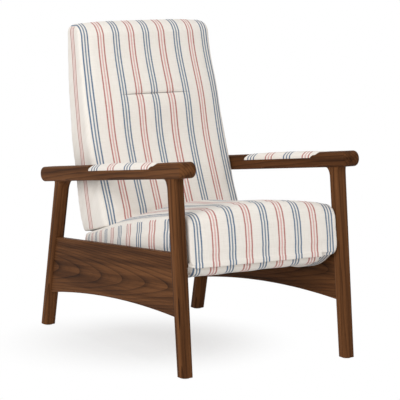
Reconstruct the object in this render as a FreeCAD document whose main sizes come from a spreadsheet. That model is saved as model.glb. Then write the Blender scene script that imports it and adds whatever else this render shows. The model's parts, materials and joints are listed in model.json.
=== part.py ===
"""Wooden-framed push-back recliner, modelled as a parametric document.

Millimetres, +Z up, the sitter faces -Y and +X is to the right of someone looking at the front.
The origin lies on the floor under the middle of the chair. Two walnut side frames carry a striped
seat that glides forward on sloping rails, a back that reclines on two rivets at the seat's rear
corners, and a padded footrest that lies folded under the seat and flips out in front of it.
"""
import FreeCAD, Part
import math
import os
import re

import Sketcher
from FreeCAD import Placement, Rotation, Vector

# Driving dimensions: alias, value in millimetres or degrees, meaning.
SIZES = (
    ("side_plane", 285, "mid plane of each side frame, from the centre"),
    ("leg_top", 43, "leg width at the taper height"),
    ("leg_foot", 40, "leg width at the floor"),
    ("leg_taper_height", 600, "height over which the leg tapers"),
    ("leg_corner", 13, "rounding of the leg's long corners"),
    ("front_foot", -460, "y of the front feet"),
    ("front_rake", 5.8, "lean of the front legs"),
    ("rear_foot", 464.9, "y of the rear feet"),
    ("rear_rake", 13.3, "lean of the rear legs"),
    ("flare_height", 32, "height of the leg's flare under the arm"),
    ("inner_flare", 20, "spread of the flare towards the chair's middle"),
    ("outer_flare", 5, "spread of the flare towards the arm's end"),
    ("glide_height", 3, "thickness of a floor glide"),
    ("glide_radius", 13, "radius of a floor glide"),
    ("glide_pin_radius", 3, "radius of a floor glide's pin"),
    ("glide_pin_length", 14, "length of a floor glide's pin in the leg"),
    ("arm_front", -484, "y of the arm's front end on its centre line"),
    ("arm_front_height", 619, "z of the arm's centre line at its front end"),
    ("arm_slope", 6.96, "fall of the arm towards the rear"),
    ("arm_length", 952, "length of the arm along its slope"),
    ("arm_height", 48, "height of the arm"),
    ("arm_width", 54, "width of the arm"),
    ("arm_edge", 9, "rounding of the arm's long edges"),
    ("nose_flat", 1, "flat left in the middle of the arm's round ends"),
    ("pad_front", 151, "front of the arm pad from the arm's front end"),
    ("pad_ramp", 48.5, "length of the ramp at the pad's front"),
    ("pad_rear", 598, "rear of the arm pad from the arm's front end"),
    ("pad_depth", 17.5, "depth of the pad's recess in the arm"),
    ("pad_crown", 3, "rise of the pad above the arm's top"),
    ("cloth_gap", 0.3, "clearance of soft pieces from their neighbours"),
    ("panel_thick", 22, "thickness of the side panel"),
    ("panel_front_top", 365, "z of the panel's top at the front leg"),
    ("panel_rear_top", 305, "z of the panel's top at the rear leg"),
    ("panel_front_low", 176, "z of the panel's bottom at the front leg"),
    ("panel_rear_low", 117, "z of the panel's bottom at the rear leg"),
    ("panel_arch", 21, "rise of the arch under the panel"),
    ("panel_edge", 2, "rounding of the panel's top edges"),
    ("dowel_radius", 5, "radius of the panel and stretcher dowels"),
    ("dowel_length", 40, "length of those dowels"),
    ("tenon_radius", 8, "radius of the dowel between a leg and its arm"),
    ("tenon_length", 44, "length of that dowel"),
    ("glue_gap", 0.05, "radial room for glue round a dowel"),
    ("stretcher_thick", 28, "thickness of the cross stretchers"),
    ("stretcher_height", 40, "height of the cross stretchers"),
    ("front_stretcher_y", 10, "front face of the front stretcher"),
    ("stretcher_gap", 1, "room between the front stretcher and the base rails above it"),
    ("rear_stretcher_y", 306, "front face of the rear stretcher"),
    ("rear_stretcher_z", 162, "underside of the rear stretcher"),
    ("deck_y", -443, "y of the seat's lower front edge"),
    ("deck_z", 328, "z of the seat's lower front edge"),
    ("glide_angle", 7.3, "fall of the seat deck and its rails towards the rear"),
    ("seat_half_width", 259, "half the width of the seat cushion"),
    ("seat_length", 684, "length of the seat cushion along the deck"),
    ("seat_front_height", 149, "height of the seat's side edge at the front"),
    ("seat_rear_drop", 56, "how much lower that edge is at the rear"),
    ("seat_crown", 22, "rise of the seat's middle above its side edges"),
    ("seat_rear_crown", 3, "that rise under the back"),
    ("seat_nose", 38, "rounding of the seat's upper front edge"),
    ("seat_corner", 26, "rounding of the seat's lower front corners"),
    ("seat_edge", 9, "rounding of the seat's long edges"),
    ("seat_waist", 3, "how far the seat's sides draw in"),
    ("seat_skin", 9, "padding outside the seat's side rails"),
    ("seat_front_padding", 58, "padding in front of the seat's front rail"),
    ("seat_rear_padding", 12, "padding behind the seat's rear rail"),
    ("rail_thick", 24, "thickness of the wooden rails and posts"),
    ("seat_rail_height", 50, "height of the seat's side and rear rails"),
    ("front_rail_drop", 11.8, "how far the front rail reaches below the deck"),
    ("strap_width", 50, "width of an elastic strap"),
    ("strap_thick", 2, "thickness of an elastic strap"),
    ("cross_strap_pitch", 84, "spacing of the seat's cross straps"),
    ("long_strap_pitch", 96, "spacing of the seat's lengthwise straps"),
    ("channel_front", 64, "front end of the base rail along the deck"),
    ("channel_rear", 578, "rear end of the base rail along the deck"),
    ("channel_wall", 2.5, "wall of the base rail"),
    ("channel_depth", 13.5, "reach of the base rail from the panel"),
    ("runner_height", 13, "height of a nylon runner"),
    ("runner_length", 50, "length of a nylon runner"),
    ("runner_width", 9, "width of a nylon runner"),
    ("runner_gap", 0.3, "running clearance of a runner in the base rail"),
    ("front_runner", 150, "front of the front runner along the deck"),
    ("rear_runner", 500, "front of the rear runner along the deck"),
    ("runner_offset", 1.5, "how far the slide bar's middle lies below the deck"),
    ("bar_lead", 35, "reach of the slide bar ahead of its front runner"),
    ("bar_width", 34, "width of the slide bar"),
    ("bar_thick", 3, "thickness of the slide bar"),
    ("bar_in_runner", 4, "grip of a runner on the slide bar"),
    ("glide_travel", 70, "travel of the seat along the rails"),
    ("stop_gap", 0.3, "room between a stop and what rests on it"),
    ("screw_radius", 2, "shank radius of the screws"),
    ("screw_head", 4, "head radius of the countersunk screws"),
    ("screw_length", 16, "length of the screws"),
    ("pivot_y", 244, "y of the recline rivets"),
    ("pivot_z", 318, "z of the recline rivets"),
    ("rivet_radius", 5, "radius of the recline rivets"),
    ("rivet_head", 9, "head radius of the recline rivets"),
    ("rivet_head_thick", 4, "head thickness of the recline rivets"),
    ("pivot_clearance", 0.05, "radial running clearance of the rivets and the hinge pin"),
    ("plate_thick", 4, "thickness of the recline plates and back brackets"),
    ("plate_gap", 0.3, "side clearance between recline plate and back bracket"),
    ("eye_radius", 14, "radius of the eyes round the rivets"),
    ("plate_length", 84, "reach of a recline plate along the seat's side rail"),
    ("bracket_height", 130, "reach of a back bracket up its post"),
    ("bracket_neck", 20, "height at which a back bracket reaches its full width"),
    ("slot_room", 7, "room beside the recline plates in the seat's rear slots"),
    ("back_tilt", 11.44, "lean of the back's frame"),
    ("post_depth", 40, "depth of a back post"),
    ("post_low", 34, "lower end of a back post above the rivets"),
    ("post_high", 640, "upper end of a back post above the rivets"),
    ("post_setback", 2, "rear face of a back post ahead of the rivets"),
    ("back_rail_height", 45, "height of the back's cross rails"),
    ("back_strap_pitch", 84, "spacing of the back's straps"),
    ("back_low_width", 254, "half width of the back cushion at the seat"),
    ("back_lumbar_width", 250, "half width of the back cushion at the lumbar height"),
    ("back_middle_width", 241, "half width of the back cushion in the middle"),
    ("back_high_width", 238, "half width of the back cushion from the shoulders up"),
    ("low_front_y", 106, "y of the back's front at the seat"),
    ("low_front_z", 374, "z of the back's front at the seat"),
    ("low_rear_y", 251, "y of the back's rear at the seat"),
    ("low_rear_z", 337, "z of the back's rear at the seat"),
    ("lumbar_front_y", 175, "y of the back's front at the lumbar height"),
    ("lumbar_front_z", 524, "z of the back's front at the lumbar height"),
    ("lumbar_rear_y", 310, "y of the back's rear at the lumbar height"),
    ("lumbar_rear_z", 478, "z of the back's rear at the lumbar height"),
    ("middle_front_y", 235, "y of the back's front in the middle"),
    ("middle_front_z", 674, "z of the back's front in the middle"),
    ("middle_rear_y", 344, "y of the back's rear in the middle"),
    ("middle_rear_z", 636, "z of the back's rear in the middle"),
    ("shoulder_front_y", 275, "y of the back's front at the shoulders"),
    ("shoulder_front_z", 824, "z of the back's front at the shoulders"),
    ("shoulder_rear_y", 372, "y of the back's rear at the shoulders"),
    ("shoulder_rear_z", 797, "z of the back's rear at the shoulders"),
    ("top_front_y", 301, "y of the back's front below its rounded top"),
    ("top_front_z", 974, "z of the back's front below its rounded top"),
    ("top_rear_y", 390, "y of the back's rear below its rounded top"),
    ("top_rear_z", 968, "z of the back's rear below its rounded top"),
    ("back_edge", 18, "rounding of the back's front edges"),
    ("back_rear_edge", 8, "rounding of the back's rear edges"),
    ("back_crown", 9, "rise of the back's front in the middle"),
    ("back_top_round", 26, "rounding of the back's top"),
    ("back_seat_gap", 5, "room between the seat's side edge and the back's underside"),
    ("pull_height", 774, "z of the sewn pull across the back"),
    ("pull_half_length", 109, "half the length of that pull"),
    ("pull_depth", 4, "depth of that pull in the middle"),
    ("pull_radius", 7, "radius of that pull's groove"),
    ("hinge_v", 54, "footrest hinge pin along the deck"),
    ("hinge_w", -14, "footrest hinge pin below the deck"),
    ("hinge_pin_radius", 1.6, "radius of the hinge pin"),
    ("knuckle_radius", 3.2, "radius of a hinge knuckle"),
    ("knuckle_count", 12, "number of knuckles on the hinge"),
    ("knuckle_gap", 0.3, "side gap between knuckles"),
    ("leaf_thick", 1.6, "thickness of a hinge leaf"),
    ("leaf_width", 30, "width of a hinge leaf"),
    ("leaf_gap", 0.6, "half the gap between the closed hinge leaves"),
    ("hinge_half_length", 210, "half the length of the hinge"),
    ("footrest_half_width", 226, "half the width of the footrest"),
    ("board_front", 58, "front edge of the footrest board along the deck"),
    ("board_length", 258, "length of the footrest board"),
    ("board_thick", 10, "thickness of the footrest board"),
    ("board_corner", 20, "rounding of the footrest board's free corners"),
    ("rest_pad_front", 54, "start of the footrest pad from the board's front edge"),
    ("rest_pad_thick", 15, "thickness of the footrest pad in its middle"),
    ("rest_pad_rim", 5, "thickness of the footrest pad at its ends"),
    ("flap_thick", 1.5, "thickness of the fabric flap"),
    ("flap_half_width", 257, "half the width of the fabric flap"),
    ("flap_tight_width", 229, "half the width over which the flap lies tight on the footrest"),
    ("flap_start", 3, "front edge of the tight flap along the deck"),
    ("flap_loose_start", 24, "front edge of the flap's loose ends along the deck"),
    ("flap_slack", 2.4, "room between the flap and the footrest's board"),
    ("flap_reach", 108, "rear edge of the tight flap along the deck"),
    ("flap_sag", 40, "sag of the flap's loose ends below the deck"),
    ("flap_loop_rear", 226, "rear edge of the flap's loose ends along the deck"),
)

doc = FreeCAD.newDocument("recliner")
sheet = doc.addObject("Spreadsheet::Sheet", "Sizes")
for row, (alias, value, meaning) in enumerate(SIZES, start=1):
    sheet.set(f"A{row}", alias)
    sheet.set(f"B{row}", str(value))
    sheet.setAlias(f"B{row}", alias)
    sheet.set(f"C{row}", meaning)
doc.recompute()

ALIASES = {alias for alias, _, _ in SIZES}
WORD = re.compile(r"[a-z_]+")
SIDES = (("left", -1), ("right", 1))
X_AXIS = Vector(1, 0, 0)
parts = []


def number(formula):
    """Work a formula on the sheet's sizes out as a plain number."""
    return float(sheet.evalExpression(str(formula)))


def bind(item, prop, formula):
    """Tie a property of a document object to a formula on the sheet's sizes."""
    def full_name(match):
        return f"Sizes.{match.group()}" if match.group() in ALIASES else match.group()

    item.setExpression(prop, WORD.sub(full_name, str(formula)))


def point(formulas):
    """Work three formulas out as a vector."""
    return Vector(*(number(formula) for formula in formulas))


def spot(place):
    """Formulas of a point that is already worked out."""
    return tuple(f"{value:.6f}" for value in place)


def tilted(origin, fall):
    """Placement whose Y axis falls towards the rear by an angle, from a named origin."""
    return Placement(point(origin), Rotation(X_AXIS, -number(fall)))


def new_body(label, frame=None):
    """Start a sub-part as a body in the given frame."""
    body = doc.addObject("PartDesign::Body", label)
    body.Label = label
    if frame:
        body.Placement = frame
    parts.append(body)
    return body


def span(side, near, far):
    """Formulas of an x range on one side of the chair, lowest first."""
    return (f"({near})", f"({far})") if side > 0 else (f"-({far})", f"-({near})")


def box(body, name, low, high, cut=False):
    """Add or cut a box between two corners given as formulas in the body's frame."""
    kind = "PartDesign::SubtractiveBox" if cut else "PartDesign::AdditiveBox"
    item = body.newObject(kind, name)
    for prop, axis in (("Length", 0), ("Width", 1), ("Height", 2)):
        bind(item, prop, f"({high[axis]}) - ({low[axis]})")
    for prop, formula in zip("xyz", low):
        bind(item, f"Placement.Base.{prop}", formula)
    return item


TURNS = {"x": Rotation(Vector(0, 1, 0), 90), "y": Rotation(X_AXIS, -90), "z": Rotation()}


def set_round(item, start, axis, radius, length):
    """Size and place a cylinder that starts at a point and runs along an axis."""
    item.Placement = Placement(Vector(), TURNS[axis])
    for prop, formula in zip("xyz", start):
        bind(item, f"Placement.Base.{prop}", formula)
    bind(item, "Radius", radius)
    bind(item, "Height", length)
    return item


def rod(body, name, start, axis, radius, length, cut=False):
    """Add or cut a cylinder in a body."""
    kind = "PartDesign::SubtractiveCylinder" if cut else "PartDesign::AdditiveCylinder"
    return set_round(body.newObject(kind, name), start, axis, radius, length)


def outline(body, name, offset, corners):
    """Draw a closed outline on the body's YZ plane, moved along X by a formula.

    Each corner is (y, z) or (y, z, radius, turn): with a radius, an arc runs from it to the next
    corner, bulging to the left of the way for a turn of 1 and to the right for -1.
    """
    plane = next(item for item in body.Origin.OriginFeatures if item.Role == "YZ_Plane")
    sketch = body.newObject("Sketcher::SketchObject", name)
    sketch.AttachmentSupport = [(plane, "")]
    sketch.MapMode = "FlatFace"
    bind(sketch, "AttachmentOffset.Base.z", offset)
    places = [Vector(number(corner[0]), number(corner[1]), 0) for corner in corners]
    for index, corner in enumerate(corners):
        start = places[index]
        end = places[(index + 1) % len(corners)]
        if len(corner) == 2:
            sketch.addGeometry(Part.LineSegment(start, end))
            continue
        chord = end - start
        radius = number(corner[2])
        rise = radius - math.sqrt(radius ** 2 - (chord.Length / 2) ** 2)
        normal = Vector(-chord.y, chord.x, 0).normalize()
        middle = (start + end) * 0.5 + normal * rise * corner[3]
        sketch.addGeometry(Part.Arc(start, middle, end))
    ends = []
    for index, corner in enumerate(corners):
        swapped = len(corner) > 2 and (sketch.getPoint(index, 1) - places[index]).Length > 1e-6
        ends.append((2, 1) if swapped else (1, 2))
    for index, corner in enumerate(corners):
        following = (index + 1) % len(corners)
        sketch.addConstraint(
            Sketcher.Constraint("Coincident", index, ends[index][1], following, ends[following][0]))
        for kind, formula, value in (("DistanceX", corner[0], places[index].x),
                                     ("DistanceY", corner[1], places[index].y)):
            row = sketch.addConstraint(Sketcher.Constraint(kind, -1, 1, index, ends[index][0], value))
            bind(sketch, f"Constraints[{row}]", formula)
        if len(corner) > 2:
            row = sketch.addConstraint(Sketcher.Constraint("Radius", index, number(corner[2])))
            bind(sketch, f"Constraints[{row}]", corner[2])
    return sketch


def pad(body, name, sketch, depth):
    """Thicken an outline along X."""
    item = body.newObject("PartDesign::Pad", name)
    item.Profile = sketch
    bind(item, "Length", depth)
    sketch.Visibility = False
    return item


def pocket(body, name, sketch):
    """Cut an outline through the whole body, both ways along X."""
    doc.recompute()
    before = body.Shape.Volume
    item = body.newObject("PartDesign::Pocket", name)
    item.Profile = sketch
    item.Type = "ThroughAll"
    item.Midplane = True
    doc.recompute()
    if body.Shape.Volume >= before:
        raise RuntimeError(f"{name} cut nothing from {body.Label}")
    return item


def fillet(body, name, radius, wanted):
    """Round the edges of the body's last feature that a test picks."""
    doc.recompute()
    base = body.Tip
    edges = [f"Edge{i}" for i, edge in enumerate(base.Shape.Edges, start=1) if wanted(edge)]
    item = body.newObject("PartDesign::Fillet", name)
    item.Base = (base, edges)
    bind(item, "Radius", radius)
    return item


def solid(label, shape, frame=None):
    """Add a sub-part whose shape is worked out here from the sheet's sizes."""
    item = doc.addObject("Part::Feature", label)
    item.Label = label
    item.Shape = shape
    if frame:
        item.Placement = frame
    parts.append(item)
    return item


def group(label, members, frame=None):
    """Join identical small pieces into one sub-part of separate solids."""
    item = doc.addObject("Part::Compound", label)
    item.Label = label
    item.Links = members
    if frame:
        item.Placement = frame
    parts.append(item)
    return item


def loose_rod(name, start, axis, radius, length):
    """A cylinder that belongs to a group."""
    return set_round(doc.addObject("Part::Cylinder", name), start, axis, radius, length)


def loose_box(name, low, high):
    """A box that belongs to a group."""
    item = doc.addObject("Part::Box", name)
    for prop, axis in (("Length", 0), ("Width", 1), ("Height", 2)):
        bind(item, prop, f"({high[axis]}) - ({low[axis]})")
    for prop, formula in zip("xyz", low):
        bind(item, f"Placement.Base.{prop}", formula)
    return item


# Frames that several pieces share.
deck_frame = tilted(("0", "deck_y", "deck_z"), "glide_angle")
back_frame = tilted(("0", "pivot_y", "pivot_z"), "back_tilt")


def arm_frame(side):
    """Frame of one arm: origin at its front end, Y along the arm, Z square to it."""
    return tilted((f"{side} * side_plane", "arm_front", "arm_front_height"), "arm_slope")


def deck_point(y, z):
    """Formulas of a point of the chair's side view, measured in the deck's frame."""
    along = f"((({y}) - deck_y) * cos(glide_angle) - (({z}) - deck_z) * sin(glide_angle))"
    above = f"((({y}) - deck_y) * sin(glide_angle) + (({z}) - deck_z) * cos(glide_angle))"
    return along, above


# Side frames

LEGS = {
    "front": {"foot": "front_foot", "lean": "tan(front_rake)", "inward": 1},
    "rear": {"foot": "rear_foot", "lean": "-tan(rear_rake)", "inward": -1},
}
FLARE_STEPS = (1.0, 0.68, 0.4, 0.2, 0.06, 0.0)


def leg_centre(leg, height):
    """Formula of the y of a leg's axis at a height."""
    return f"({leg['foot']} + ({height}) * {leg['lean']})"


def leg_half(height):
    """Formula of half the leg's width at a height."""
    return f"((leg_foot + (leg_top - leg_foot) * ({height}) / leg_taper_height) / 2)"


def leg_inner_face(leg, height):
    """Formula of the y of the leg's face towards the chair's middle at a height."""
    return f"({leg_centre(leg, height)} + {leg['inward']} * {leg_half(height)})"


def leg_top_height(leg):
    """Formula of the height at which the leg's axis meets the arm's underside."""
    underside = "(arm_front_height - arm_height / 2 / cos(arm_slope))"
    fall = f"(({leg['foot']} - arm_front) * tan(arm_slope))"
    return f"(({underside} - {fall}) / (1 + {leg['lean']} * tan(arm_slope)))"


def rounded_rectangle(half_x, low_y, high_y, corner):
    """Closed wire of a rectangle with round corners in the XY plane."""
    turn = corner * (1 - math.sqrt(0.5))
    edges = []
    for sign_x, sign_y in ((1, 1), (-1, 1), (-1, -1), (1, -1)):
        x = sign_x * half_x
        y = high_y if sign_y > 0 else low_y
        ends = [Vector(x, y - sign_y * corner, 0), Vector(x - sign_x * corner, y, 0)]
        if sign_x != sign_y:
            ends.reverse()
        middle = Vector(x - sign_x * turn, y - sign_y * turn, 0)
        edges.append((ends[0], middle, ends[1]))
    curves = []
    for index, (start, middle, end) in enumerate(edges):
        curves.append(Part.Arc(start, middle, end).toShape())
        curves.append(Part.LineSegment(end, edges[(index + 1) % 4][0]).toShape())
    return Part.Wire(curves)


def leg_section(leg, height, spread, tilt):
    """One section of a leg at a height, spread by a share of the flare and tilted about X."""
    half = number(leg_half(height))
    inner = half + spread * number("inner_flare")
    outer = half + spread ** 2 * number("outer_flare")
    low, high = (-outer, inner) if leg["inward"] > 0 else (-inner, outer)
    wire = rounded_rectangle(half, low, high, number("leg_corner"))
    wire.Placement = Placement(Vector(0, number(leg_centre(leg, height)), height), Rotation(X_AXIS, tilt))
    return wire


def make_leg(side_name, side, leg_name):
    """A raked, tapered leg whose top flares into the arm."""
    leg = LEGS[leg_name]
    top = number(leg_top_height(leg))
    foot = number("glide_height")
    flare = number("flare_height")
    shaft = Part.makeLoft([leg_section(leg, foot, 0, 0), leg_section(leg, top - flare, 0, 0)], True, True)
    sections = []
    for step in FLARE_STEPS:
        spread = 1 - math.sqrt(1 - (1 - step) ** 2)
        sections.append(leg_section(leg, top - flare * step, spread, -number("arm_slope") * (1 - step)))
    shape = shaft.fuse(Part.makeLoft(sections, True, False))
    for hole in leg_holes(leg_name, top):
        shape = shape.cut(hole)
    frame = Placement(Vector(side * number("side_plane"), 0, 0), Rotation())
    solid(f"{side_name}_{leg_name}_leg", shape, frame)


PANEL_DOWEL_SHARES = (0.3, 0.7)


def panel_dowel_heights(leg_name):
    """Formulas of the heights of the dowels between the panel and a leg."""
    low, high = f"panel_{leg_name}_low", f"panel_{leg_name}_top"
    return [f"({low} + ({high} - {low}) * {share})" for share in PANEL_DOWEL_SHARES]


def panel_dowel_start(leg_name, height):
    """Formula of the y where a panel dowel starts, half its length ahead of the joint."""
    return f"({leg_inner_face(LEGS[leg_name], height)} - dowel_length / 2)"


def tenon_axis(side_x, leg_name):
    """Base point and direction of the dowel between a leg and its arm."""
    leg = LEGS[leg_name]
    top = number(leg_top_height(leg))
    middle = Vector(side_x, number(leg_centre(leg, top)), top)
    direction = Rotation(X_AXIS, -number("arm_slope")).multVec(Vector(0, 0, 1))
    return middle - direction * (number("tenon_length") / 2), direction


def leg_holes(leg_name, top):
    """Blind holes of a leg for its floor glide, its tenon dowel and the panel's dowels."""
    leg = LEGS[leg_name]
    gap = number("glue_gap")
    base, direction = tenon_axis(0, leg_name)
    yield Part.makeCylinder(number("tenon_radius") + gap, number("tenon_length"), base, direction)
    pin_base = Vector(0, number(leg_centre(leg, "glide_height")), 0)
    pin_length = number("glide_height + glide_pin_length")
    yield Part.makeCylinder(number("glide_pin_radius") + gap, pin_length, pin_base)
    for height in panel_dowel_heights(leg_name):
        start = Vector(0, number(panel_dowel_start(leg_name, height)), number(height))
        yield Part.makeCylinder(number("dowel_radius") + gap, number("dowel_length"), start, Vector(0, 1, 0))


def make_tenons():
    """Dowels that join each leg to its arm."""
    members = []
    for side_name, side in SIDES:
        for leg_name in LEGS:
            base, direction = tenon_axis(side * number("side_plane"), leg_name)
            item = doc.addObject("Part::Cylinder", f"tenon_{side_name}_{leg_name}")
            bind(item, "Radius", "tenon_radius")
            bind(item, "Height", "tenon_length")
            item.Placement = Placement(base, Rotation(Vector(0, 0, 1), direction))
            members.append(item)
    group("leg_tenon_dowels", members)


def make_floor_glides():
    """Plastic glides pushed into the feet."""
    members = []
    for side_name, side in SIDES:
        for leg_name, leg in LEGS.items():
            name = f"glide_{side_name}_{leg_name}"
            centre = (f"{side} * side_plane", leg_centre(leg, "glide_height"))
            disc = loose_rod(f"{name}_disc", (*centre, "0"), "z", "glide_radius", "glide_height")
            pin = loose_rod(f"{name}_pin", (*centre, "0"), "z", "glide_pin_radius",
                            "glide_height + glide_pin_length")
            item = doc.addObject("Part::Fuse", name)
            item.Base = disc
            item.Tool = pin
            members.append(item)
    group("floor_glides", members)


def make_panel(side_name, side):
    """Side panel between two legs, with an arched underside."""
    body = new_body(f"{side_name}_side_panel", tilted((f"{side} * side_plane", "0", "0"), "0"))
    ends = {}
    for leg_name, leg in LEGS.items():
        for edge in ("low", "top"):
            height = f"panel_{leg_name}_{edge}"
            ends[leg_name, edge] = (leg_inner_face(leg, height), height)
    chord_y = f"({ends['rear', 'low'][0]} - {ends['front', 'low'][0]})"
    chord_z = "(panel_rear_low - panel_front_low)"
    half_chord = f"(sqrt({chord_y} ^ 2 + {chord_z} ^ 2) / 2)"
    arch_radius = f"(({half_chord} ^ 2 + panel_arch ^ 2) / (2 * panel_arch))"
    sketch = outline(body, f"{side_name}_panel_outline", "-panel_thick / 2", [
        (*ends["front", "low"], arch_radius, 1),
        ends["rear", "low"],
        ends["rear", "top"],
        ends["front", "top"],
    ])
    pad(body, f"{side_name}_panel_board", sketch, "panel_thick")
    reach = number("panel_thick") / 2 - 0.01
    length = number(f"{half_chord}")
    fillet(body, f"{side_name}_panel_rounding", "panel_edge",
           lambda edge: edge.Length > length and edge.Curve.TypeId == "Part::GeomLine"
           and all(abs(v.X) > reach for v in edge.Vertexes))
    for leg_name in LEGS:
        for index, height in enumerate(panel_dowel_heights(leg_name)):
            start = ("0", panel_dowel_start(leg_name, height), height)
            rod(body, f"{side_name}_panel_{leg_name}_hole_{index}", start, "y",
                "dowel_radius + glue_gap", "dowel_length", cut=True)
    for place in STRETCHERS:
        for index, height in enumerate(stretcher_dowel_heights(place)):
            start = (stretcher_dowel_start(-side), f"({place}_stretcher_y + stretcher_thick / 2)", height)
            rod(body, f"{side_name}_panel_{place}_stretcher_hole_{index}", start, "x",
                "dowel_radius + glue_gap", "dowel_length / 2", cut=True)
    for index, along in enumerate(channel_screws()):
        centre = deck_frame.multVec(Vector(0, along, number("-runner_offset")))
        centre.x = -number("panel_thick") / 2 if side > 0 else number("panel_thick / 2 - screw_length")
        rod(body, f"{side_name}_panel_screw_hole_{index}", spot(centre), "x",
            "screw_radius + glue_gap", "screw_length", cut=True)


RAIL_UNDERSIDE = "(runner_offset + runner_height / 2 + runner_gap + channel_wall)"
FRONT_STRETCHER_FALL = "((front_stretcher_y + stretcher_thick - deck_y) * tan(glide_angle))"
STRETCHERS = {
    "front": f"(deck_z - {FRONT_STRETCHER_FALL} - {RAIL_UNDERSIDE} / cos(glide_angle)"
             " - stretcher_gap - stretcher_height)",
    "rear": "rear_stretcher_z",
}
STRETCHER_DOWEL_SHARES = (0.25, 0.75)


def stretcher_dowel_heights(place):
    """Formulas of the heights of the two dowels in each stretcher end."""
    return [f"({STRETCHERS[place]} + stretcher_height * {share})" for share in STRETCHER_DOWEL_SHARES]


def stretcher_dowel_start(inward):
    """Formula of the x, from the panel's mid plane, where a stretcher dowel's half starts."""
    return "(-panel_thick / 2)" if inward < 0 else "(panel_thick / 2 - dowel_length / 2)"


def make_panel_dowels():
    """Dowels between the side panels and the legs."""
    members = []
    for side_name, side in SIDES:
        for leg_name in LEGS:
            for index, height in enumerate(panel_dowel_heights(leg_name)):
                start = (f"{side} * side_plane", panel_dowel_start(leg_name, height), height)
                name = f"panel_dowel_{side_name}_{leg_name}_{index}"
                members.append(loose_rod(name, start, "y", "dowel_radius", "dowel_length"))
    group("panel_dowels", members)


INNER_FACE = "(side_plane - panel_thick / 2)"


def make_stretchers():
    """Cross stretchers between the panels, and their dowels."""
    members = []
    for place, underside in STRETCHERS.items():
        body = new_body(f"{place}_stretcher")
        low = (f"-{INNER_FACE}", f"{place}_stretcher_y", underside)
        high = (INNER_FACE, f"{place}_stretcher_y + stretcher_thick", f"{underside} + stretcher_height")
        box(body, f"{place}_stretcher_board", low, high)
        for side_name, side in SIDES:
            for index, height in enumerate(stretcher_dowel_heights(place)):
                start_x = f"({side} * {INNER_FACE} - dowel_length / 2)"
                start = (start_x, f"({place}_stretcher_y + stretcher_thick / 2)", height)
                name = f"{place}_{side_name}_{index}"
                rod(body, f"stretcher_hole_{name}", start, "x", "dowel_radius + glue_gap",
                    "dowel_length", cut=True)
                members.append(loose_rod(f"stretcher_dowel_{name}", start, "x", "dowel_radius",
                                         "dowel_length"))
    group("stretcher_dowels", members)


RAMP_RADIUS = "((pad_ramp ^ 2 + pad_depth ^ 2) / (4 * pad_depth))"
ARM_TOP = "(arm_height / 2)"
RECESS_FLOOR = "(arm_height / 2 - pad_depth)"
OVERSHOOT = 30


def ramp_corners(lift):
    """Corners of the S-shaped ramp at the pad's front, from its foot to its top."""
    return [
        ("pad_front + pad_ramp", f"{RECESS_FLOOR} + {lift}", RAMP_RADIUS, -1),
        ("pad_front + pad_ramp / 2", f"({RECESS_FLOOR} + {ARM_TOP}) / 2 + {lift}", RAMP_RADIUS, 1),
        ("pad_front", f"{ARM_TOP} + {lift}"),
    ]


def make_arm(side_name, side):
    """Sloping arm with round ends and a recess for its pad."""
    body = new_body(f"{side_name}_arm", arm_frame(side))
    low = ("-arm_width / 2", "0", f"-{ARM_TOP}")
    high = ("arm_width / 2", "arm_length", ARM_TOP)
    box(body, f"{side_name}_arm_blank", low, high)
    ends = (0, number("arm_length"))
    fillet(body, f"{side_name}_arm_nose", "(arm_height - nose_flat) / 2",
           lambda edge: all(any(abs(v.Y - end) < 0.01 for end in ends) for v in edge.Vertexes)
           and abs(edge.Vertexes[0].X - edge.Vertexes[-1].X) > 1)
    reach = number("arm_width") / 2 - 0.01
    fillet(body, f"{side_name}_arm_rounding", "arm_edge",
           lambda edge: all(abs(v.X) > reach for v in edge.Vertexes))
    sketch = outline(body, f"{side_name}_recess_outline", "0", [
        ("pad_rear", f"{ARM_TOP} + {OVERSHOOT}"),
        ("pad_rear", RECESS_FLOOR),
        *ramp_corners("0"),
        ("pad_front", f"{ARM_TOP} + {OVERSHOOT}"),
    ])
    pocket(body, f"{side_name}_recess", sketch)
    frame = arm_frame(0).inverse()
    for leg_name in LEGS:
        base, _ = tenon_axis(0, leg_name)
        rod(body, f"{side_name}_arm_{leg_name}_hole", spot(frame.multVec(base)), "z",
            "tenon_radius + glue_gap", "tenon_length", cut=True)


def make_arm_pad(side_name, side):
    """Upholstered pad that fills the arm's recess and stands a little proud of it."""
    body = new_body(f"{side_name}_arm_pad", arm_frame(side))
    length = "(pad_rear - cloth_gap - pad_front)"
    crown_radius = f"(({length} ^ 2 / 4 + pad_crown ^ 2) / (2 * pad_crown))"
    blank = outline(body, f"{side_name}_pad_outline", "-arm_width / 2", [
        ("pad_front", f"{RECESS_FLOOR} + cloth_gap"),
        ("pad_rear - cloth_gap", f"{RECESS_FLOOR} + cloth_gap"),
        ("pad_rear - cloth_gap", ARM_TOP, crown_radius, -1),
        ("pad_front", ARM_TOP),
    ])
    pad(body, f"{side_name}_pad_blank", blank, "arm_width")
    reach = number("arm_width") / 2 - 0.01
    top = number(ARM_TOP) - 0.01
    fillet(body, f"{side_name}_pad_rounding", "arm_edge",
           lambda edge: all(abs(v.X) > reach and v.Z > top for v in edge.Vertexes))
    under = outline(body, f"{side_name}_pad_underside", "0", [
        ("pad_front + pad_ramp", f"{RECESS_FLOOR} - {OVERSHOOT}"),
        *ramp_corners("cloth_gap"),
        (f"pad_front - {OVERSHOOT}", f"{ARM_TOP} + cloth_gap"),
        (f"pad_front - {OVERSHOOT}", f"{RECESS_FLOOR} - {OVERSHOOT}"),
    ])
    pocket(body, f"{side_name}_pad_trim", under)


# Gliding seat

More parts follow.
